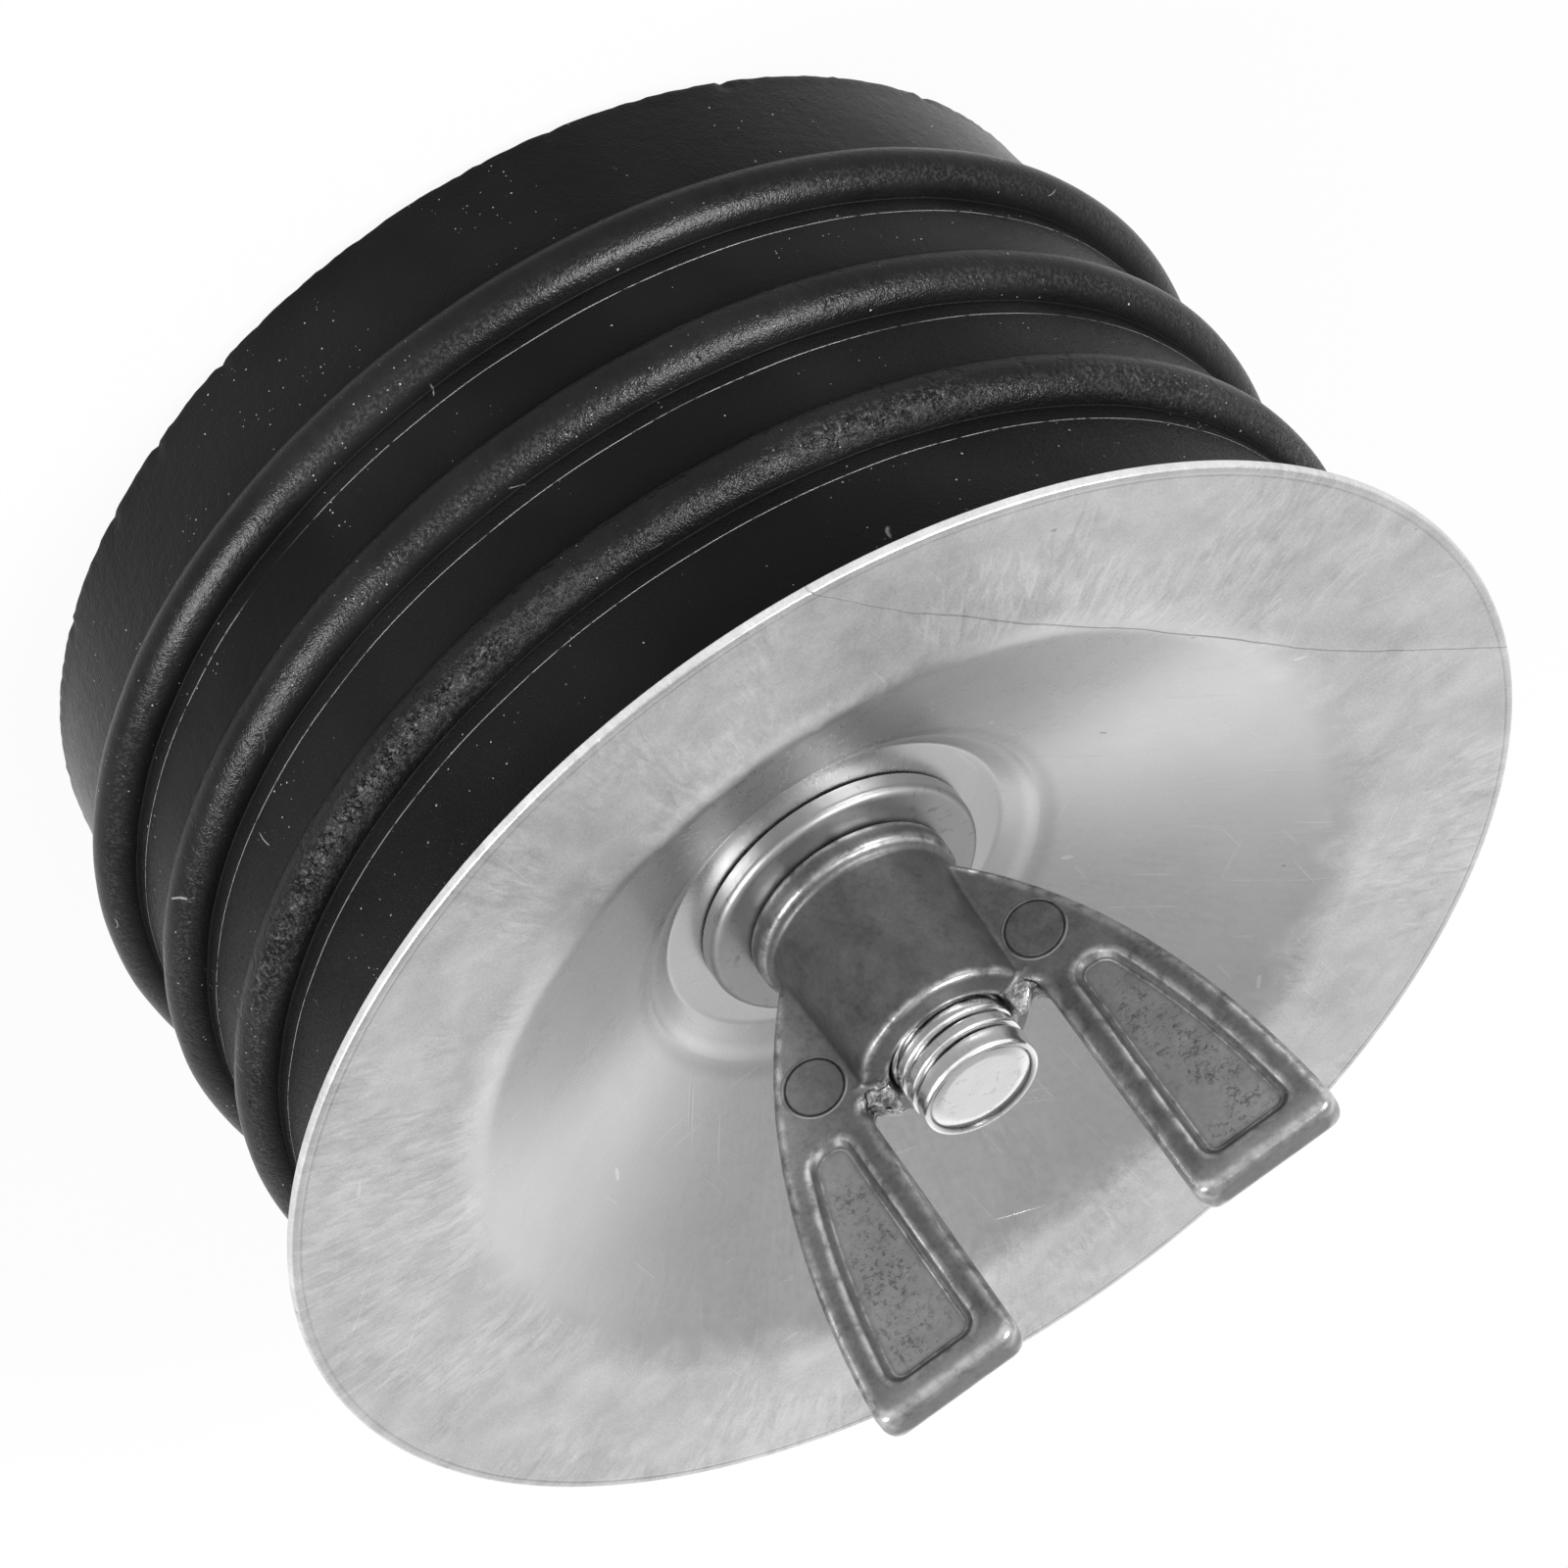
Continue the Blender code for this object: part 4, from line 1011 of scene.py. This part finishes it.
def castMaterial(look, shape):
    material, tree, shader = startMaterial("dieCastZinc", look["roughness"], look["metallic"])
    place = objectPlace(tree)
    noise = partial(grain, tree, place)
    wear, inset = storedValue(tree, "wear"), storedValue(tree, "panelInset")
    x, y, height = splitOf(tree, place)
    alongWing, acrossWing = maths(tree, "ABSOLUTE", x), maths(tree, "ABSOLUTE", y)
    mottle = noise(500.0, 5.0, 0.62, 0.3)
    clouds = noise(130.0, 3.0, 0.55)
    fine = noise(2600.0, 3.0, 0.65)
    # Dark speckles, most of them in the panels
    panelFrom = shape["panelFrom"]
    inPanel = times(tree, fadeOver(tree, inset, 0.9, 1.9),
                    fadeOver(tree, height, (panelFrom + 2.0) * mm, (panelFrom + 5.5) * mm))
    speckle = times(tree, fadeOver(tree, noise(2300.0, 3.0, 0.75), 0.47, 0.66),
                    fadeOver(tree, noise(210.0, 2.0, 0.5), 0.29, 0.50),
                    addLayers(tree, 0.20, (inPanel, 0.8)))
    floorTone = fadeOver(tree, inset, 0.7, 1.3)
    # The torn flash between hub and wings, with a crack
    flash = times(tree, fadeOver(tree, height, 60.5 * mm, 60.9 * mm),
                  fadeOver(tree, height, 62.4 * mm, 62.9 * mm, 1.0, 0.0),
                  fadeOver(tree, alongWing, 7.6 * mm, 8.3 * mm, 1.0, 0.0),
                  fadeOver(tree, acrossWing, 1.9 * mm, 2.6 * mm, 1.0, 0.0))
    crack = times(tree, flash, lineAt(tree, noise(330.0, 2.0, 0.6), 0.47, 0.030))
    flash = times(tree, flash, fadeOver(tree, noise(1300.0, 3.0, 0.7), 0.40, 0.62))
    # Edges are worn bright, and the foot of the panels' walls gets a painted highlight
    wallFootRidgeAndHighlight = lineAt(tree, inset, 0.80, 0.16)
    bright = times(tree, fadeOver(tree, wear, 0.10, 0.55), fadeOver(tree, noise(700.0, 3.0, 0.6), 0.30, 0.62))
    bright = largest(tree, bright, times(tree, wallFootRidgeAndHighlight, fadeOver(tree, mottle, 0.40, 0.60, 0.0, 0.55)))
    # The ejector pins left round marks: a raised rim with a painted highlight on its upper part, painted
    # shade just inside the rim, and a slightly darker middle
    fromPin, pinRadius = pinDistance(tree, alongWing, height, shape), shape["pinRadius"]
    pinRimAndHighlight = lineAt(tree, fromPin, pinRadius * mm, 0.13 * mm)
    pinShade = lineAt(tree, fromPin, (pinRadius - 0.22) * mm, 0.16 * mm)
    inPin = fadeOver(tree, fromPin, (pinRadius - 0.2) * mm, pinRadius * mm, 1.0, 0.0)
    pinHighlightSide = fadeOver(tree, height, (shape["pinZ"] + 0.2) * mm, (shape["pinZ"] + 1.6) * mm)
    # The wings are darker than the hub, and paler again at their tips
    rimTone = times(tree, fadeOver(tree, height, 62.0 * mm, 65.0 * mm, 0.0, look["wingDarker"]),
                    maths(tree, "SUBTRACT", 1.0, floorTone))
    tipTone = fadeOver(tree, height, 82.0 * mm, 84.5 * mm, 0.0, look["tipPaler"])
    tone = addLayers(tree, look["grey"], (mottle, 0.17), (clouds, 0.08), (bright, look["wornEdgeAndHighlight"]),
                     (pinRimAndHighlight, pinHighlightSide, look["pinRimAndHighlight"]), (floorTone, look["panelFloor"]),
                     (flash, look["flash"]), (crack, -look["crack"]), (speckle, -look["speckle"]))
    tone = addUp(tree, tone, share(tree, fine, 0.07), times(tree, rimTone, -1.0), tipTone)
    tone = addLayers(tree, tone, (pinShade, -0.12), (inPin, -0.03))
    rough = addLayers(tree, look["roughness"], (mottle, 0.20), (bright, -0.16))
    relief = addLayers(tree, times(tree, mottle, 0.9), (fine, 0.30), (speckle, -0.5), (pinRimAndHighlight, 0.5),
                       (pinShade, -1.2), (maths(tree, "SUBTRACT", flash, crack), 2.0), (wallFootRidgeAndHighlight, 0.8))
    return withSurface(material, look, largest(tree, tone, look["darkest"]), rough, relief)


drafts = [makeHub(nutLook)] + [make(nutLook, side) for make in (makeWing, makeFlash) for side in (1, -1)]
nut = meltTogether("wingNut", drafts, nutLook["voxelMm"] * mm, nutLook["smoothRounds"])
nutPlaces = placesOf(nut.data) / mm
insets = panelInset(nutLook, np.abs(nutPlaces[:, 0]), nutPlaces[:, 2])
onFaces = np.abs(nutPlaces[:, 1]) < nutLook["facesWithin"]
storeValues(nut.data, "panelInset", np.where(onFaces, insets, nutLook["insetElsewhere"]))
storeValues(nut.data, "wear", edgeWear(nut.data, nutLook["wearRounds"], nutLook["wearReach"]))
dress(nut, "nut", "wing_nut", castMaterial(castLook, nutLook))


# White studio: a pale floor, a world that is bright near the horizon, and soft boxes

studioLook = {
    "zenith": 0.42,
    "horizon": 1.0,
    "horizonUpTo": 0.25,
    "zenithFrom": 0.80,
    "shadowShare": 0.07,
    "floorRadius": 3.0,
    "floorSides": 64,
    "floorGrey": 0.92,
}
softBoxes = {  # place, what it faces, width, height, watts, pieces it lights (none named: all)
    "besideLeft": ((-0.56, -0.44, 0.90), (0, 0, 0.03), 0.46, 0.30, 6.5, ()),
    "besideRight": ((0.80, -0.52, 0.60), (0, 0, 0.03), 0.46, 0.26, 5.5, ()),
    "sheenLeft": ((-0.56, -0.47, 0.86), (0, 0, 0.03), 0.38, 0.68, 48.0, ("rubberSleeve",)),
    "sheenRight": ((0.87, -0.55, 0.46), (0, 0, 0.03), 0.38, 0.68, 41.0, ("rubberSleeve",)),
}


def makeWorld(look):
    world = bpy.data.worlds.new("whiteStudio")
    world.use_nodes = True
    tree = world.node_tree
    tree.nodes.clear()
    rise = splitOf(tree, addNode(tree, "ShaderNodeTexCoord", {}, output="Generated"))["Z"]
    level = fadeOver(tree, rise, look["horizonUpTo"], look["zenithFrom"], look["horizon"], look["zenith"])
    seen = addNode(tree, "ShaderNodeLightPath", {}, output="Is Camera Ray")
    level = blendOf(tree, seen, level, 1.0)
    glow = addNode(tree, "ShaderNodeBackground", {"Color": (1, 1, 1, 1), "Strength": level})
    end = tree.nodes.new("ShaderNodeOutputWorld")
    tree.links.new(glow, end.inputs["Surface"])
    bpy.context.scene.world = world


def makeFloor(look):
    angles = angleSteps(look["floorSides"])
    rim = np.stack([np.cos(angles), np.sin(angles), angles * 0], 1) * look["floorRadius"]
    floor = meshObject("studioFloor", rim, [list(range(look["floorSides"]))])
    material = bpy.data.materials.new("studioFloor")
    material.use_nodes = True
    tree = material.node_tree
    tree.nodes.clear()
    path = addNode(tree, "ShaderNodeLightPath", {}).node
    seen = largest(tree, *[path.outputs["Is %s Ray" % kind] for kind in ("Camera", "Glossy", "Transmission")])
    white = addNode(tree, "ShaderNodeEmission", {"Color": (1, 1, 1, 1), "Strength": 1.0})
    matt = addNode(tree, "ShaderNodeBsdfDiffuse", {"Color": (*[look["floorGrey"]] * 3, 1)})
    whiteShare = times(tree, seen, 1 - look["shadowShare"])
    both = addNode(tree, "ShaderNodeMixShader", {0: whiteShare, 1: matt, 2: white})
    end = tree.nodes.new("ShaderNodeOutputMaterial")
    tree.links.new(both, end.inputs["Surface"])
    floor.data.materials.append(material)


def makeSoftBox(name, place, target, width, height, watts, onlyOn):
    data = bpy.data.lights.new(name, "AREA")
    data.shape, data.size, data.size_y, data.energy = "RECTANGLE", width, height, watts
    lamp = placeObject(name, data)
    lamp.location = place
    aim = Vector(target) - lamp.location
    lamp.rotation_euler = aim.to_track_quat("-Z", "Y").to_euler()
    if onlyOn:
        lit = bpy.data.collections.new(name + "Lights")
        for pieceName in onlyOn:
            lit.objects.link(bpy.data.objects[pieceName])
        lamp.light_linking.receiver_collection = lit


makeWorld(studioLook)
makeFloor(studioLook)
for boxName, boxValues in softBoxes.items():
    makeSoftBox(boxName, *boxValues)
print("studio ready")
